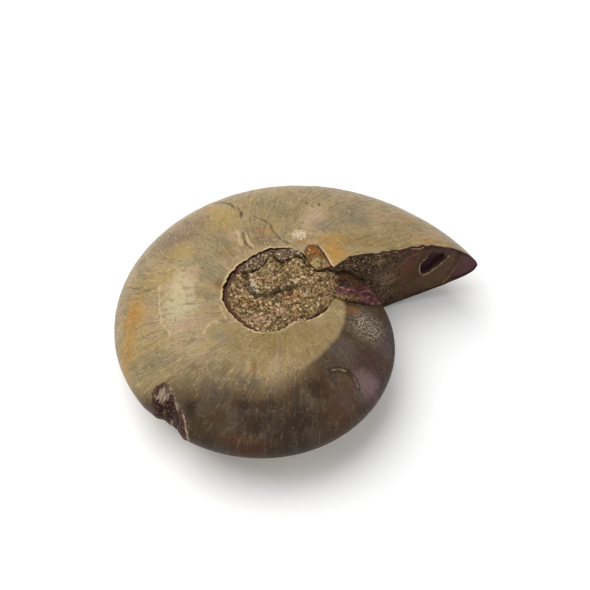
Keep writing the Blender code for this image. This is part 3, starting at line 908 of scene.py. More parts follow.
# %% Stains of the near flank: x, y, half width, half height, colour, strength
LIGHT_STAINS = (
    (-27.0, 22.5, 8.0, 6.5, MAUVE_GREY, 0.8), (-20.5, 28.5, 6.5, 4.0, MAUVE_GREY, 0.65),
    (-14.5, 29.5, 5.2, 6.8, YELLOW_KHAKI, 0.9), (-17.8, 34.4, 1.6, 0.9, ORANGE, 0.8),
    (-14.0, 18.8, 3.6, 2.6, GREEN_GREY, 0.9), (-16.2, 8.8, 3.8, 3.2, GREEN_GREY, 0.9),
    (-18.3, 12.8, 2.6, 2.4, GREEN_GREY, 0.7), (-13.8, 15.4, 3.2, 2.2, OLIVE_GOLD, 0.75),
    (-23.7, 17.5, 4.5, 3.0, YELLOW_KHAKI, 0.7), (-28.0, 9.0, 4.5, 3.2, YELLOW_KHAKI, 0.9),
    # A pale stain on the left flank: partly the pale shell, partly a painted highlight where the flank faces
    # the light.
    (-23.3, 2.5, 4.4, 9.5, PEARL_AND_HIGHLIGHT, 1.0), (-23.2, -2.0, 3.6, 4.2, GREEN_PEARL_AND_HIGHLIGHT, 0.8),
    (-20.6, 9.4, 2.2, 1.6, PINK_TAN, 0.8), (-20.5, -6.4, 5.0, 2.4, PINK_TAN, 0.8),
    (-34.4, 0.5, 3.4, 6.5, GOLD, 0.75), (-35.3, 0.0, 1.6, 3.4, ORANGE, 0.7),
    (-35.9, -8.5, 2.6, 7.0, GOLD, 0.7), (-31.5, 6.0, 2.2, 0.7, DARK_OLIVE, 0.45),
    (-20.9, -0.4, 1.8, 0.5, DARK_OLIVE, 0.4), (-21.9, 4.4, 1.3, 0.6, DARK_GREY, 0.5),
    (-14.1, 5.5, 1.3, 1.7, ORANGE_BROWN, 0.8), (-11.4, 21.0, 1.6, 2.0, PINK_TAN, 0.8),
    (1.0, 31.0, 9.0, 6.0, GREEN_GREY, 0.45), (9.0, 27.5, 3.4, 7.5, (0.410, 0.304, 0.188), 0.8),
    (19.0, 29.5, 6.0, 5.0, BLUE_GREY, 0.9), (12.2, 25.0, 4.5, 2.3, BLUE_GREY, 0.75),
    (7.1, 33.5, 0.5, 0.5, DARK_LINE, 0.8), (10.3, 33.2, 0.45, 0.8, DARK_LINE, 0.7),
    (-5.2, 22.8, 2.3, 1.3, ORANGE_BROWN, 0.55), (-2.8, 22.9, 1.5, 1.2, ORANGE, 0.5),
    (-3.4, 19.3, 4.4, 2.5, BROWN, 0.6), (13.8, 15.5, 4.0, 4.6, GOLD, 0.95),
    (13.6, 20.2, 5.0, 2.6, GOLD, 0.7), (22.0, 20.2, 9.0, 2.4, OLIVE_GOLD, 0.65),
    (14.6, 17.0, 1.3, 1.1, ORANGE, 0.7), (6.8, 19.6, 2.6, 0.8, ORANGE, 0.7),
    (27.0, 31.0, 7.0, 2.6, PINK_TAN, 0.55),
    (33.4, 31.2, 2.0, 1.1, ORANGE, 0.5), (40.0, 27.2, 5.0, 2.8, PINK_TAN, 0.8),
    (38.0, 22.9, 4.2, 1.0, GOLD, 0.65), (-27.7, -14.6, 4.0, 2.6, GREEN_GREY, 0.8),
    (-12.9, -10.4, 1.8, 1.6, BLUE_GREY, 0.8), (-11.6, -17.6, 1.5, 2.0, OLIVE_GOLD, 0.85),
    (-12.3, -19.4, 1.7, 1.0, ORANGE_BROWN, 0.6), (-19.2, -17.5, 2.0, 1.4, BROWN, 0.55),
    (-5.3, -18.6, 0.9, 2.6, ORANGE_BROWN, 0.7), (4.5, -11.5, 8.5, 6.5, OLIVE_GOLD, 0.6),
    (-6.5, -14.0, 8.0, 6.0, OLIVE_GOLD, 0.5), (-15.0, -20.0, 9.0, 5.0, (0.126, 0.087, 0.036), 0.7),
)
DARK_STAINS = (
    (4.0, -30.5, 12.0, 4.5, NEAR_BLACK, 0.7),
    (-19.6, -25.0, 1.9, 4.0, NEAR_BLACK, 0.7), (-7.6, -26.3, 1.8, 2.4, NEAR_BLACK, 0.45),
    (-8.5, -33.2, 4.5, 1.6, RED_BROWN, 0.4), (-4.6, -33.4, 4.0, 1.3, RED_BROWN, 0.45),
    (0.8, -33.6, 3.0, 1.0, DARK_OLIVE, 0.6), (-17.6, -28.6, 2.2, 1.6, DARK_OLIVE, 0.7),
    (15.6, -23.5, 3.0, 3.0, (0.084, 0.050, 0.038), 0.7), (15.2, -27.6, 3.4, 2.6, RED_BROWN, 0.6),
    (9.0, -22.9, 2.8, 2.4, NEAR_BLACK, 0.5), (9.8, -31.2, 3.6, 1.8, (0.096, 0.058, 0.034), 0.65),
    (15.4, -11.6, 4.6, 4.2, (0.092, 0.070, 0.056), 0.75),
    (24.5, -15.5, 6.5, 9.5, PLUM, 0.85), (22.5, -3.5, 6.0, 6.0, DARK_GREY, 0.8),
    (20.8, -18.5, 4.0, 3.6, MAUVE_SHEEN, 0.75), (26.5, -11.2, 1.2, 2.2, RED_BROWN, 0.6),
    (27.2, -2.6, 2.4, 4.6, (0.052, 0.033, 0.037), 0.7), (25.4, -7.6, 2.4, 2.6, (0.092, 0.062, 0.064), 0.6),
    (22.5, -20.9, 1.2, 1.0, RED_BROWN, 0.5), (18.2, 1.4, 2.4, 1.3, ORANGE_BROWN, 0.85),
    (15.8, -18.9, 2.4, 1.4, BROWN, 0.7),
)


# %% [markdown]
# ## The finish of the shell
# Polished stone has a satin gloss. Growth lines run outwards over the flank, so the fine noise
# for them is stretched along `outwards` and narrow along `turn`, and the pale scratches of the
# polishing run the same way. The colours are laid on in layers, one function for each: the light
# flank, the dark band, the tip, the fine veins and hairs, the chip and the navel's rim. Last
# comes the far flank, which the fossil lies on: the same mixed khaki and brown, without stains.

# %% Colours and marks of the shell's layers
CHIP_DARK, CHIP_BROWN, CHIP_RED = (0.025, 0.009, 0.008), (0.071, 0.041, 0.022), (0.081, 0.035, 0.024)
SCAR_PINK, RIDGE_PINK, DUST_WHITE = (0.418, 0.303, 0.216), (0.360, 0.250, 0.190), (0.480, 0.410, 0.320)
# RIM_WALL_SHADE is painted shade on the wall inside the navel's rim.
RIM_WALL_SHADE, WALL_CREAM = (0.025, 0.011, 0.006), (0.557, 0.410, 0.238)
CRYSTAL_AND_GLINT_PATCH, SCRATCHED_PATCH = (5.2, 21.4, 12.6), (21.3, -3.0, 7.0)  # their middles, from the axis
# The drawn lines: name, how much they waver, width, colour and strength.
LINE_LOOKS = (
    ("pale_ridge", 1.0, 0.70, CREAM, 0.45),
    ("pale_thread", 1.8, 0.36, CREAM, 0.40),
    ("suture", 2.0, 0.55, DARK_LINE, 0.75),
    ("arc_suture", 1.4, 0.45, DARK_LINE, 0.55),
    ("ridge_groove", 1.0, 0.45, DARK_LINE, 0.65),
)
# Stains in the chip: what the wobble, the hatching and the crumbs do to the edge, then the stain.
CHIP_STAINS = (
    (0.5, 5.0, 0.0, (-26.6, -20.5, 1.5, 0.8, SCAR_PINK, 0.95)),
    (0.7, 7.0, 3.0, (-24.6, -25.4, 0.5, 0.8, PINK_TAN, 0.6)),
)


# %% Where the dark band lies
def dark_band_and_shade_mask(look):
    """1 on the dark band of dark stone. Its edge is soft on the left and crisp on the right, where
    it is partly a painted shadow cast by the broken end, and it also covers the earlier whorl
    under the ledge with painted shade."""
    beyond = number(look.tree, "beyond_dark_edge")
    soft = ease(beyond + (look.growth_lines - 0.5) * 4.0 + (look.patches - 0.5) * 7.0, -3.5, 4.5)
    crisp = ease(beyond + look.wobble * 0.4, -0.3, 0.9)
    on_the_right = ease(part(look.where, 0), 3.0, 12.0)
    band = (soft + (crisp - soft) * on_the_right) * ease(look.turn, 150.0, 170.0)
    under_ledge = ease(look.turn, 352.0, 358.0) * ease(look.outwards, 0.2, 0.5)
    return calculate("MAXIMUM", band, under_ledge)


# %% Noises that the shell's layers share
def shell_look(tree):
    """The shell's noises, its places and the masks that several layers need, by name."""
    where = position(tree)
    turn, outwards = number(tree, "turn"), number(tree, "outwards")
    look = SimpleNamespace(tree=tree, where=where, turn=turn, outwards=outwards)
    look.broad, look.patches = cloud(where, 11.0, 3.0), cloud(where, 4.5, 4.0)
    look.mottle, look.fine = cloud(where, 1.6, 5.0, 0.65), cloud(where, 0.7, 3.0, 0.7)
    sway = (look.broad - 0.5) * 14.0
    look.band_lines = cloud(combine(turn / 7.0 + sway * 0.1, outwards / 0.55), 1.0, 3.0)
    look.growth_lines = cloud(combine(turn / 1.7 + sway * 0.2, outwards / 0.30), 1.0, 4.0, 0.7)
    look.hairs = cloud(combine(turn / 0.55 + sway * 0.6, outwards / 0.14, 5.0), 1.0, 2.0, 0.6)
    slanted = combine(turn / 0.8 + outwards * 20.0, outwards / 0.12 - turn / 9.0, 9.0)
    look.scratches = cloud(slanted, 1.0, 2.0, 0.6)
    look.waver = look.mottle - 0.5
    look.wobble = look.waver * 1.3 + (look.patches - 0.5) * 1.4 + (look.growth_lines - 0.5) * 1.5
    look.pale_hairs = ease(look.hairs, 0.60, 0.72) * (ease(outwards, 0.10, 0.40) * 0.7 + 0.3)
    look.from_keel = number(tree, "from_keel")
    look.chip_inside = number(tree, "chip_inside") + look.waver * 0.8
    look.chipped = ease(look.chip_inside, -0.25, 0.15)
    look.dark = dark_band_and_shade_mask(look)
    return look


# %% The light flank and the dark band
def light_flank(look):
    """Khaki in broad patches and growth bands, then the stains, the white crystals with a painted glint, and
    the lines.
    """
    colour = mix(KHAKI, TAN, ease(look.broad, 0.42, 0.6))
    colour = mix(colour, GREEN_GREY, ease(look.patches, 0.50, 0.66) * 0.65)
    colour = mix(colour, YELLOW_KHAKI, ease(look.band_lines, 0.52, 0.66) * 0.6)
    colour = mix(colour, DARK_KHAKI, ease(look.growth_lines, 0.48, 0.36) * 0.6)
    for spot in LIGHT_STAINS:
        colour = stain(colour, look.where, look.wobble, spot)
    # White crystals on the shoulder above the navel, partly a painted glint where the shoulder curves.
    crystals_and_glint = ease(distance_from(look.where, CRYSTAL_AND_GLINT_PATCH) + look.wobble * 0.8, 2.4, 0.9)
    colour = mix(colour, WHITE_CRYSTAL, crystals_and_glint * ease(cloud(look.where, 0.42, 3.0), 0.47, 0.57) * 0.85)
    colour = mix(colour, MAUVE_GREY, ease(look.mottle, 0.52, 0.66) * 0.5)
    colour = mix(colour, PINK_TAN, ease(look.mottle, 0.44, 0.34) * 0.35)
    for name, raggedness, width, line_colour, strength in LINE_LOOKS:
        distance = number(look.tree, name) + look.waver * raggedness
        colour = mix(colour, line_colour, line(distance, width) * strength)
    return colour


def dark_band(look):
    """Dark brown and grey in patches and growth bands, then the stains."""
    colour = mix(DARK_BROWN, DARK_GREY, ease(look.patches, 0.42, 0.62))
    colour = mix(colour, NEAR_BLACK, ease(look.band_lines, 0.50, 0.36) * 0.35)
    colour = mix(colour, BROWN, ease(look.growth_lines, 0.54, 0.70) * 0.7)
    for spot in DARK_STAINS:
        colour = stain(colour, look.where, look.wobble, spot)
    return colour


# %% The keel and the tip
def tip_layer(colour, look):
    """A darker keel on the dark band, then plum along the break with a pale line beside it."""
    colour = mix(colour, NEAR_BLACK, ease(look.from_keel, 2.0, 0.0) * look.dark * 0.5)
    edge = look.turn * 2.2 + look.wobble * 0.6 - ease(look.from_keel, 9.0, 2.0) * 2.4
    colour = mix(colour, PLUM, ease(edge, 0.5, -0.3))
    pale_line = line(abs(edge - 0.5), 0.5) * ease(look.from_keel, 9.0, 6.0)
    colour = mix(colour, PINK_TAN, pale_line * 0.8)
    keel = ease(look.from_keel + look.wobble * 0.4, 1.4, 0.4) * ease(look.turn, 26.0, 12.0)
    return mix(colour, PLUM, keel * 0.6)


# %% Veins, hairs and scratches
def vein_layer(colour, look):
    """Thin veins: each follows one level of a noise, so it is a line where the noise less the
    level is close to 0."""
    levels = cloud(look.where, 7.0, 5.0, 0.6)
    pale = line(abs(levels - 0.47), 0.009) * ease(look.patches, 0.44, 0.56)
    colour = mix(colour, CREAM, pale * (0.40 - look.dark * 0.33))
    black = line(abs(levels - 0.56), 0.010) * ease(look.patches, 0.50, 0.40)
    return mix(colour, DARK_LINE, black * 0.45)


def hair_layer(colour, look):
    """Pale and dark crumbs, pale hairs, scratches and dark hairs, weaker on the dark band."""
    colour = mix(colour, CREAM, ease(look.fine, 0.58, 0.70) * (0.26 - look.dark * 0.16))
    colour = mix(colour, DARK_LINE, ease(look.fine, 0.43, 0.32) * 0.30)
    colour = mix(colour, CREAM, look.pale_hairs * (0.44 - look.dark * 0.34))
    colour = mix(colour, CREAM, ease(look.scratches, 0.60, 0.70) * (0.36 - look.dark * 0.27))
    return mix(colour, DARK_LINE, ease(look.hairs, 0.42, 0.30) * (0.36 - look.dark * 0.06))


def dust_layer(colour, look):
    """On the dark band: a pale crescent with its black side, and a patch of white scratches."""
    crescent = number(look.tree, "crescent") + look.waver * 0.6
    colour = mix(colour, NEAR_BLACK, line(abs(crescent - 0.4), 0.6) * look.dark * 0.45)
    pale_crescent = line(crescent, 0.26) * ease(look.patches, 0.44, 0.54) * look.dark
    colour = mix(colour, PINK_TAN, pale_crescent * 0.6)
    speck = ease(cloud(look.where, 0.40, 2.0), 0.53, 0.62)
    dust = calculate("MAXIMUM", speck, ease(look.scratches, 0.55, 0.64) * 0.8)
    scratched = ease(distance_from(look.where, SCRATCHED_PATCH) + look.wobble * 2.0, 6.6, 1.8)
    return mix(colour, DUST_WHITE, dust * scratched * 0.75)


# %% The chip
def chip_layer(colour, look):
    """Dark glassy stone with two hatched pink stains, a red edge, and the flake's pink ridge."""
    across = calculate_vector("DOT_PRODUCT", look.where, (0.8, -0.6, 0.0), output=1)
    along = calculate_vector("DOT_PRODUCT", look.where, (0.6, 0.8, 0.0), output=1)
    hatch = cloud(combine(across * 1.5, along * 0.4), 0.6, 2.0)
    chip = mix(CHIP_DARK, CHIP_BROWN, ease(look.mottle, 0.50, 0.62))
    for by_wobble, by_hatch, by_crumbs, spot in CHIP_STAINS:
        ragged = look.wobble * by_wobble + (hatch - 0.5) * by_hatch + (look.fine - 0.5) * by_crumbs
        chip = stain(chip, look.where, ragged, spot)
    chip = mix(chip, PINK_TAN, ease(look.fine, 0.56, 0.66) * 0.35)
    chip = mix(chip, CHIP_RED, ease(look.chip_inside, 0.8, 0.3) * 0.6)
    colour = mix(colour, chip, look.chipped)
    ridge = number(look.tree, "chip_ridge") + look.waver * 1.6 + (look.fine - 0.5) * 0.8
    return mix(colour, RIDGE_PINK, line(ridge, 0.22) * 0.8)


# %% The navel's rim and the far flank
def rim_layer(colour, look):
    """A painted highlight as a pale line along the rim, painted shade on the wall inside it, and the amber
    window's pale wall.
    """
    from_rim = number(look.tree, "from_rim")
    # Painted highlight: a pale line along the rim's edge.
    pale_line = line(abs(from_rim - 0.30) + look.waver * 0.8, 0.34)
    colour = mix(colour, CREAM, pale_line * (ease(look.patches, 0.44, 0.56) * 0.6 + 0.2))
    # Painted shade on the wall that goes down into the navel.
    colour = mix(colour, RIM_WALL_SHADE, ease(from_rim + look.waver * 0.25, 0.10, -0.05))
    window_wall = line(number(look.tree, "window_wall"), 0.35) * ease(from_rim, 0.0, 0.4)
    return mix(colour, WALL_CREAM, window_wall)


def far_layer(colour, look):
    """The far flank below the keel, and a black line of painted shade where the shell meets the torn end."""
    far = mix(KHAKI, BROWN, ease(look.broad, 0.45, 0.62))
    far = mix(far, GOLD, ease(look.patches, 0.56, 0.70) * 0.6)
    far = mix(far, MAUVE_GREY, ease(look.mottle, 0.52, 0.66) * 0.5)
    far = mix(far, CREAM, look.pale_hairs * 0.3)
    height = part(look.where, 2)
    colour = mix(colour, far, ease(height, -2.0, -8.0) * ease(look.chipped, 1.0, 0.0))
    # Painted shade along the joint where the shell meets the torn end.
    torn_joint_shade = look.turn - ease(height, -1.0, -5.0) * 2.5 + look.waver * 1.5
    return mix(colour, NEAR_BLACK, ease(torn_joint_shade, 0.9, 0.2) * 0.85)


# %% The shell's finish
SHELL_LAYERS = (tip_layer, vein_layer, hair_layer, dust_layer, chip_layer, rim_layer, far_layer)


def shell_finish():
    material, tree, shader = new_finish("shell_stone")
    look = shell_look(tree)
    colour = mix(light_flank(look), dark_band(look), look.dark)
    for layer in SHELL_LAYERS:
        colour = layer(colour, look)
    roughness = 0.36 + look.waver * 0.35 + (look.hairs - 0.5) * 0.25 + look.chipped * 0.15 + look.dark * 0.12
    height = look.growth_lines * 0.55 + look.hairs * 0.5 + look.mottle * 0.6 + look.fine * 0.3
    finish(tree, shader, colour, roughness, height, height_mm=0.14)
    return material


# %% [markdown]
# ## The finish of the rock in the navel
# Hard mud is dull and grainy. Each grain has its own tone, the gaps between grains are dark,
# and single grains are white crystal. The crust is grey. A dark red-brown band of painted shade
# lines the wall round the edge, and the darkness under the block's foot is a painted shadow.

# %% Colours and stains of the navel
NAVEL_TAN, NAVEL_OLIVE = (0.290, 0.180, 0.080), (0.150, 0.106, 0.034)
CRUST_TAN, CRUST_BROWN = (0.195, 0.130, 0.080), (0.075, 0.045, 0.031)
PALE_CRUMB, PALE_GRAIN, DARK_GRAIN = (0.500, 0.350, 0.190), (0.600, 0.450, 0.290), (0.055, 0.032, 0.012)
GRAIN_GAP, DARK_CRUMB, DARK_PATCH = (0.043, 0.018, 0.008), (0.038, 0.017, 0.007), (0.051, 0.028, 0.012)
# WALL_SHADE_RED is painted shade on the wall round the navel's edge.
CRACK_BLACK, SHADOW_UNDER_BLOCK, WALL_SHADE_RED = (0.021, 0.010, 0.006), (0.034, 0.017, 0.007), (0.070, 0.024, 0.014)
NAVEL_STAINS = (
    (-1.0, 9.5, 5.5, 2.6, (0.279, 0.175, 0.086), 0.6), (2.6, 10.6, 1.8, 1.6, OLIVE_GOLD, 0.6),
    (1.5, 7.5, 5.0, 2.2, (0.170, 0.105, 0.037), 0.65), (7.0, 6.0, 4.0, 3.5, (0.238, 0.150, 0.068), 0.5),
    (-7.6, 1.2, 2.0, 1.6, (0.246, 0.126, 0.021), 0.8), (-3.4, -0.2, 2.2, 1.4, (0.238, 0.119, 0.021), 0.75),
    (2.7, 3.6, 2.4, 1.3, (0.246, 0.091, 0.016), 0.8), (-0.2, 2.4, 1.2, 1.4, (0.093, 0.073, 0.036), 0.75),
    (4.6, 0.8, 3.8, 2.2, (0.205, 0.126, 0.031), 0.6), (-6.2, 5.6, 0.9, 1.8, WHITE_CRYSTAL, 0.8),
    (-5.2, 4.2, 1.2, 0.8, WHITE_CRYSTAL, 0.75), (-3.6, -4.4, 5.5, 1.7, (0.394, 0.245, 0.151), 0.65),
    (13.2, 7.0, 2.0, 3.6, (0.085, 0.050, 0.022), 0.75), (14.2, 8.4, 1.5, 2.4, (0.060, 0.032, 0.018), 0.8),
    (0.6, -1.8, 2.6, 1.6, (0.377, 0.238, 0.140), 0.5), (-10.3, 4.8, 1.6, 3.2, (0.344, 0.224, 0.125), 0.5),
)


# %% Painted shade on the wall round the navel
def navel_wall_shade_layer(colour, tree, where, waver):
    """Painted shade: a dark red band along the edge, wide on the left and lower right, none at the ledge."""
    across, up = part(where, 0), part(where, 1)
    left = ease(across, 0.0, -9.0) * ease(up, 14.0, 9.0)
    lower_right = ease(distance_from(where, (10.0, -1.0, 9.0)), 4.0, 1.5)
    at_ledge = ease(across, 10.5, 12.0) * ease(up, 1.0, 3.0)
    width = left * 0.95 + lower_right * 0.9 + 0.05 - at_ledge * 0.8
    from_edge = number(tree, "from_edge") + waver * 0.8
    return mix(colour, WALL_SHADE_RED, ease(from_edge - width, 0.20, -0.15) * 0.9)


# %% The navel rock's finish
def navel_finish():
    material, tree, shader = new_finish("navel_rock")
    where = position(tree)
    patches, mottle, fine = cloud(where, 2.6, 4.0), cloud(where, 1.0, 4.0, 0.65), cloud(where, 0.52, 3.0, 0.7)
    grain, lot, crust = number(tree, "grain"), number(tree, "lot"), number(tree, "crust")
    waver, fine_waver = mottle - 0.5, fine - 0.5

    colour = mix(NAVEL_TAN, NAVEL_OLIVE, ease(patches, 0.44, 0.58))
    for spot in NAVEL_STAINS:
        colour = stain(colour, where, waver * 2.0 + (patches - 0.5) * 1.2, spot)
    colour = mix(colour, mix(CRUST_TAN, CRUST_BROWN, ease(mottle, 0.44, 0.56)), crust)
    colour = mix(colour, PALE_CRUMB, ease(fine, 0.54, 0.62) * (crust * 0.25 + 0.55))
    colour = mix(colour, PALE_GRAIN, ease(lot, 0.66, 0.76) * ease(grain, 0.42, 0.60) * 0.70)
    colour = mix(colour, DARK_GRAIN, ease(lot, 0.26, 0.18) * ease(grain, 0.32, 0.50) * 0.75)
    colour = mix(colour, GRAIN_GAP, ease(grain + fine_waver, 0.40, 0.14) * 0.8)
    colour = mix(colour, DARK_CRUMB, ease(fine, 0.47, 0.40) * 0.92)
    colour = mix(colour, DARK_PATCH, ease(mottle, 0.42, 0.34) * 0.6)
    colour = mix(colour, CRACK_BLACK, line(number(tree, "crack") + fine_waver * 0.4, 0.24) * 0.85)
    # Painted shadow: darker brown under the block's foot.
    hollow = number(tree, "foot") + waver * 3.6 + fine_waver * 1.4
    colour = mix(colour, SHADOW_UNDER_BLOCK, ease(hollow, 1.3, 0.3) * 0.75)
    colour = navel_wall_shade_layer(colour, tree, where, waver)

    roughness = 0.72 - ease(lot, 0.78, 0.86) * 0.3
    height = fine * 0.7 + mottle * 0.6 + number(tree, "relief") * 0.3
    finish(tree, shader, colour, roughness, height, height_mm=0.18)
    return material


# %% [markdown]
# ## The finish of the torn rock
# The torn end and the ledge are the same dark rock, so they share their grain and cracks. On
# the face a grey crumbly zone gives way to smooth red-brown and olive stone round the chamber,
# whose pale walls stand out as threads. On the ledge the folds of the lip are plum.

# %% Colours of the torn rock, and the face's stains as distance from the axis and height
TORN_BROWN, TORN_DARK, GAP_BLACK = (0.071, 0.032, 0.015), (0.042, 0.023, 0.011), (0.015, 0.007, 0.004)
TORN_OLIVE, TORN_CRUMB, RED_CRUMB = (0.110, 0.072, 0.030), (0.560, 0.430, 0.260), (0.170, 0.083, 0.038)
TORN_PATCH, OUTSIDE_PLUM, CHAMBER_DARK_AND_SHADE = (0.024, 0.010, 0.006), (0.078, 0.032, 0.031), (0.026, 0.008, 0.011)
WALL_THREAD, WALL_MAUVE, RIDGE_RED = (0.494, 0.340, 0.194), (0.150, 0.068, 0.046), (0.570, 0.315, 0.209)
# NEAR_EDGE_SHADE and FAR_EDGE_SHADE are painted shade along the torn face's edges, under the shell's lip.
NEAR_EDGE_SHADE, FAR_EDGE_SHADE = (0.037, 0.011, 0.008), (0.027, 0.011, 0.008)
FACE_STAINS = (
    (23.0, 8.4, 3.2, 1.5, (0.122, 0.062, 0.034), 0.7), (29.6, 8.6, 2.0, 0.9, (0.204, 0.135, 0.067), 0.8),
    (26.0, 4.5, 3.8, 2.6, (0.058, 0.034, 0.013), 0.7), (32.7, -0.8, 2.8, 4.4, (0.136, 0.075, 0.055), 0.9),
    (38.6, 2.6, 3.2, 6.2, (0.087, 0.028, 0.009), 0.9), (38.0, -5.0, 3.6, 3.0, (0.064, 0.029, 0.010), 0.8),
    (45.5, -4.4, 4.4, 3.0, (0.072, 0.037, 0.014), 0.9), (49.4, 2.2, 1.8, 3.6, (0.072, 0.037, 0.014), 0.9),
    (47.2, -0.2, 1.8, 1.8, (0.070, 0.035, 0.013), 0.8), (33.5, 4.6, 1.2, 0.6, (0.150, 0.089, 0.040), 0.7),
    (46.5, 6.6, 5.0, 1.0, (0.064, 0.021, 0.017), 0.8),
)


# %% Grain that the face and the ledge share
def torn_base(where):
    """(colour, patches, mottle, fine) of dark torn rock: brown, in two shades of patches."""
    patches, mottle, fine = cloud(where, 3.0, 4.0), cloud(where, 0.9, 4.0, 0.65), cloud(where, 0.50, 3.0, 0.7)
    return mix(TORN_BROWN, TORN_DARK, ease(patches, 0.42, 0.60)), patches, mottle, fine


# %% The torn face's walls and edge
def wall_layer(colour, tree, radius, patches, waver):
    """The plum strip outside the outer wall, the open chamber darkened with painted shade, and the walls as
    threads.
    """
    colour = mix(colour, OUTSIDE_PLUM, number(tree, "outside_wall"))
    # The open chamber: dark stone, darkened further with painted shade in the hollow.
    colour = mix(colour, CHAMBER_DARK_AND_SHADE, ease(number(tree, "chamber") + waver * 0.6, -0.1, 0.3))
    wall = line(number(tree, "wall") + waver * 0.5, 0.18) * ease(radius, 51.5, 48.5)
    colour = mix(colour, WALL_THREAD, wall * (0.35 + ease(patches, 0.44, 0.54) * 0.4))
    return mix(colour, WALL_MAUVE, line(number(tree, "mauve_wall") + waver * 0.8, 0.7) * 0.7)


def edge_layer(colour, tree, radius, height, waver):
    """Painted shade along both edges, under the shell's lip, with two runs of pink ridge along the near one.
    """
    from_edge = number(tree, "from_edge") + waver * 0.5
    near_side = ease(height, 2.0, 5.0)
    colour = mix(colour, NEAR_EDGE_SHADE, ease(from_edge, 2.0, 1.0) * near_side * 0.85)
    runs = calculate("MAXIMUM", ease(abs(radius - 31.5), 3.2, 2.6), ease(abs(radius - 39.8), 2.2, 1.6))
    colour = mix(colour, RIDGE_RED, line(abs(from_edge - 1.0), 0.45) * near_side * runs * 0.85)
    return mix(colour, FAR_EDGE_SHADE, ease(from_edge, 0.8, 0.2) * ease(height, 0.0, -3.0) * 0.7)


# %% The torn face's finish
def face_finish():
    material, tree, shader = new_finish("torn_rock")
    colour, patches, mottle, fine = torn_base(position(tree))
    radius, height, waver = number(tree, "radius"), number(tree, "height"), mottle - 0.5
    wobble = waver * 1.4 + (patches - 0.5) * 0.9
    for spot in FACE_STAINS:
        colour = stain(colour, combine(radius, height), wobble, spot)
    crumbly = ease(radius + wobble * 2.4, 38.5, 33.5)
    colour = mix(colour, GAP_BLACK, ease(number(tree, "grain"), 0.42, 0.18) * crumbly * 0.85)
    colour = mix(colour, TORN_OLIVE, ease(mottle, 0.52, 0.60) * crumbly * 0.6)
    upper_left = ease(height + wobble * 1.5, 3.5, 6.5) * ease(radius, 33.0, 29.0)
    colour = mix(colour, TORN_CRUMB, ease(fine, 0.56, 0.63) * crumbly * (upper_left * 0.45 + 0.42))
    colour = mix(colour, RED_CRUMB, ease(fine, 0.60, 0.72) * 0.25)
    colour = mix(colour, TORN_PATCH, ease(mottle, 0.45, 0.34) * 0.5)
    colour = wall_layer(colour, tree, radius, patches, waver)
    colour = edge_layer(colour, tree, radius, height, waver)
    roughness = 0.62 - ease(radius, 35.0, 39.0) * 0.16 + waver * 0.2
    finish(tree, shader, colour, roughness, fine * 0.6 + mottle * 0.7, height_mm=0.16)
    return material


# %% The ledge's finish
LIP_PLUM, LIP_MAUVE, LIP_DARK = (0.080, 0.024, 0.021), (0.128, 0.050, 0.047), (0.024, 0.008, 0.007)
FOLD_PINK, LEDGE_CRUMB, FRONT_STEP_SHADE = (0.380, 0.210, 0.160), (0.399, 0.281, 0.173), (0.014, 0.006, 0.004)
LEDGE_TAN, LEDGE_TAN_GAP = (0.250, 0.160, 0.075), (0.041, 0.019, 0.008)


def ledge_finish():
    material, tree, shader = new_finish("ledge_rock")
    colour, patches, mottle, fine = torn_base(position(tree))
    behind, outwards, waver = number(tree, "behind_front"), number(tree, "outwards"), mottle - 0.5
    colour = mix(colour, GAP_BLACK, ease(number(tree, "grain"), 0.42, 0.18) * 0.85)
    colour = mix(colour, LEDGE_CRUMB, ease(fine, 0.60, 0.70) * 0.5)
    lip = mix(LIP_PLUM, LIP_MAUVE, ease(patches, 0.42, 0.58))
    lip = mix(lip, LIP_DARK, ease(mottle, 0.49, 0.38) * 0.75)
    lip = mix(lip, FOLD_PINK, ease(number(tree, "folds") + waver * 2.2, 0.65, 1.0) * 0.6)
    colour = mix(colour, lip, number(tree, "fold_zone"))
    at_front = ease(behind + (patches - 0.5) * 5.0, 5.0, 2.5) * ease(outwards, 0.52, 0.38)
    at_navel = ease(outwards + waver * 0.7 + (patches - 0.5) * 0.5, 0.06, -0.02)
    grainy_tan = mix(LEDGE_TAN, LEDGE_TAN_GAP, ease(fine, 0.52, 0.44))
    colour = mix(colour, grainy_tan, calculate("MAXIMUM", at_front, at_navel))
    # Painted shade on the front step of the ledge.
    colour = mix(colour, FRONT_STEP_SHADE, ease(behind, 1.3, 0.5) * ease(outwards, 0.0, 0.3) * 0.85)
    finish(tree, shader, colour, 0.55 + waver * 0.3, fine * 0.6 + mottle * 0.7, height_mm=0.16)
    return material


# %% [markdown]
# ## The finish of the amber window
# Crystals grew in the open chamber: orange-brown at the top, cream and green below, with dark
# gaps between them. The pale wall on the right is the same material as the shell. Painted shade
# darkens the window's sunken edge, and a painted shadow runs beside its wall.


# %% Colours and stains of the window
AMBER, AMBER_BROWN, PALE_CRYSTAL = (0.196, 0.086, 0.014), (0.093, 0.043, 0.012), (0.595, 0.406, 0.169)
CRYSTAL_GAP, AMBER_DARK, WALL_SHADOW = (0.038, 0.017, 0.007), (0.080, 0.036, 0.010), (0.034, 0.014, 0.008)
WINDOW_WALL_CREAM, WINDOW_EDGE_SHADE = (0.544, 0.374, 0.215), (0.034, 0.017, 0.009)
WINDOW_STAINS = (
    (8.7, 16.2, 2.0, 1.8, (0.289, 0.094, 0.014), 0.8), (9.7, 13.0, 2.0, 1.6, (0.380, 0.300, 0.120), 0.75),
    (9.9, 11.8, 1.8, 0.9, (0.281, 0.211, 0.072), 0.7), (12.1, 12.3, 0.9, 1.4, (0.306, 0.156, 0.091), 0.8),
    (7.4, 14.6, 0.9, 2.0, (0.145, 0.086, 0.019), 0.8),
)


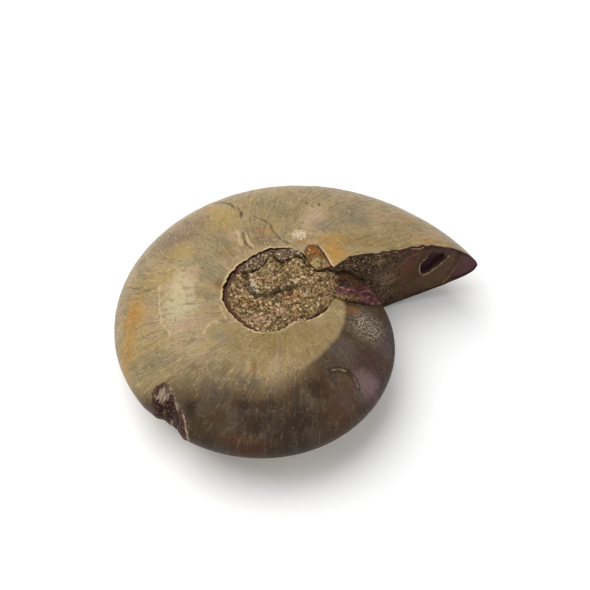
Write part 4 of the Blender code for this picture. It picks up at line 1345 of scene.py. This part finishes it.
# %% The window's finish
def window_finish():
    material, tree, shader = new_finish("amber_crystal")
    where = position(tree)
    patches, mottle, fine = cloud(where, 1.8, 3.0), cloud(where, 0.8, 4.0, 0.65), cloud(where, 0.35, 2.0, 0.6)
    grain, lot, wall = number(tree, "grain"), number(tree, "lot"), number(tree, "wall")
    waver = mottle - 0.5
    colour = mix(AMBER, AMBER_BROWN, ease(patches, 0.42, 0.58))
    for spot in WINDOW_STAINS:
        colour = stain(colour, where, waver * 2.0, spot)
    colour = mix(colour, PALE_CRYSTAL, ease(lot, 0.75, 0.85) * ease(grain, 0.4, 0.6) * 0.5)
    colour = mix(colour, CRYSTAL_GAP, ease(grain + (fine - 0.5) * 0.8, 0.40, 0.16) * 0.8)
    colour = mix(colour, AMBER_DARK, ease(mottle, 0.47, 0.40) * 0.7)
    colour = mix(colour, WALL_SHADOW, line(abs(wall - 0.55), 0.35) * 0.85)
    colour = mix(colour, WINDOW_WALL_CREAM, line(wall, 0.38) * 0.9)
    # Painted shade along the window's sunken edge.
    colour = mix(colour, WINDOW_EDGE_SHADE, ease(number(tree, "inside") + waver * 0.4, 0.45, 0.10) * 0.85)
    finish(tree, shader, colour, 0.40 + waver * 0.3, fine * 0.5 + mottle, height_mm=0.14)
    return material


# %% Give each piece its finish
for piece, material in (
    (shell, shell_finish()),
    (navel_rock, navel_finish()),
    (torn_face, face_finish()),
    (ledge_piece, ledge_finish()),
    (chamber_window, window_finish()),
):
    piece.data.materials.append(material)
    print(material.name, "has", len(material.node_tree.nodes), "nodes")
far_navel_rock.data.materials.append(navel_rock.data.materials[0])

# %% [markdown]
# ## Riding on the frame
# The fossil is one stone, so every piece rides the same body and stands in for its one solid.

# %% Put the pieces on the frame
SLOTS = {
    shell: "shell_stone",
    navel_rock: "navel_rock",
    far_navel_rock: "navel_rock",
    torn_face: "torn_rock",
    ledge_piece: "torn_rock",
    chamber_window: "shell_stone",
}
for piece, slot in SLOTS.items():
    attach(piece, "root")
    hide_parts("ammonite")
print(len(SLOTS), "pieces ride on the frame")

# %% [markdown]
# ## Floor, light and camera
# One large soft box stands above, behind and to the left, so the side of the coil that faces
# the camera falls into shade. A weaker one in front and a pale world keep the shadows light.

# %% The floor
FLOOR_SIZE, FLOOR_WHITE, FLOOR_ROUGHNESS = 6.0, 0.94, 0.9
bpy.ops.mesh.primitive_plane_add(size=FLOOR_SIZE)
floor = bpy.context.object
floor.name = "floor"
floor_material, _, floor_shader = new_finish("floor_paper")
floor_shader.inputs["Base Color"].default_value = (FLOOR_WHITE, FLOOR_WHITE, FLOOR_WHITE, 1.0)
floor_shader.inputs["Roughness"].default_value = FLOOR_ROUGHNESS
floor.data.materials.append(floor_material)

# %% The lights
KEY_DIRECTION, KEY_DISTANCE, KEY_SIZE, KEY_POWER = (-0.34, 0.26, 0.86), 0.75, 0.85, 6.9
FILL_DIRECTION, FILL_DISTANCE, FILL_SIZE, FILL_POWER = (0.25, -0.85, 0.45), 0.90, 0.80, 3.0
WORLD_STRENGTH = 0.36
world = bpy.data.worlds.new("studio")
world.use_nodes = True
background = world.node_tree.nodes["Background"]
background.inputs["Color"].default_value = (1.0, 1.0, 1.0, 1.0)
background.inputs["Strength"].default_value = WORLD_STRENGTH
bpy.context.scene.world = world
bpy.context.scene.view_settings.view_transform = "Standard"


def soft_box(name, direction, distance, size, power):
    """A square area light, aimed at the origin from a direction."""
    data = bpy.data.lights.new(name, "AREA")
    data.size, data.energy = size, power
    box = bpy.data.objects.new(name, data)
    towards = mathutils.Vector(direction).normalized()
    box.location = towards * distance
    box.rotation_euler = (-towards).to_track_quat("-Z", "Y").to_euler()
    bpy.context.scene.collection.objects.link(box)


soft_box("key", KEY_DIRECTION, KEY_DISTANCE, KEY_SIZE, KEY_POWER)
soft_box("fill", FILL_DIRECTION, FILL_DISTANCE, FILL_SIZE, FILL_POWER)

# %% The camera
CAMERA_TILT = 38.047  # degrees from straight down
CAMERA_DISTANCE, AIM_RIGHT, AIM_UP = 280.0, 4.12, 9.63
HALF_PICTURE = 0.2596  # half the picture's width, as a share of the distance
tilt = np.radians(CAMERA_TILT)
picture_up = np.array([0.0, np.cos(tilt), np.sin(tilt)])
towards_camera = np.array([0.0, -np.sin(tilt), np.cos(tilt)])
aim = AXIS + np.array([AIM_RIGHT, 0.0, 0.0]) + AIM_UP * picture_up
camera_data = bpy.data.cameras.new("camera")
camera_data.lens = camera_data.sensor_width / 2.0 / HALF_PICTURE
camera_data.clip_start, camera_data.clip_end = 0.01, 20.0
camera = bpy.data.objects.new("camera", camera_data)
camera.location = (aim + CAMERA_DISTANCE * towards_camera) * MM
camera.rotation_euler = (tilt, 0.0, 0.0)
bpy.context.scene.collection.objects.link(camera)
bpy.context.scene.camera = camera
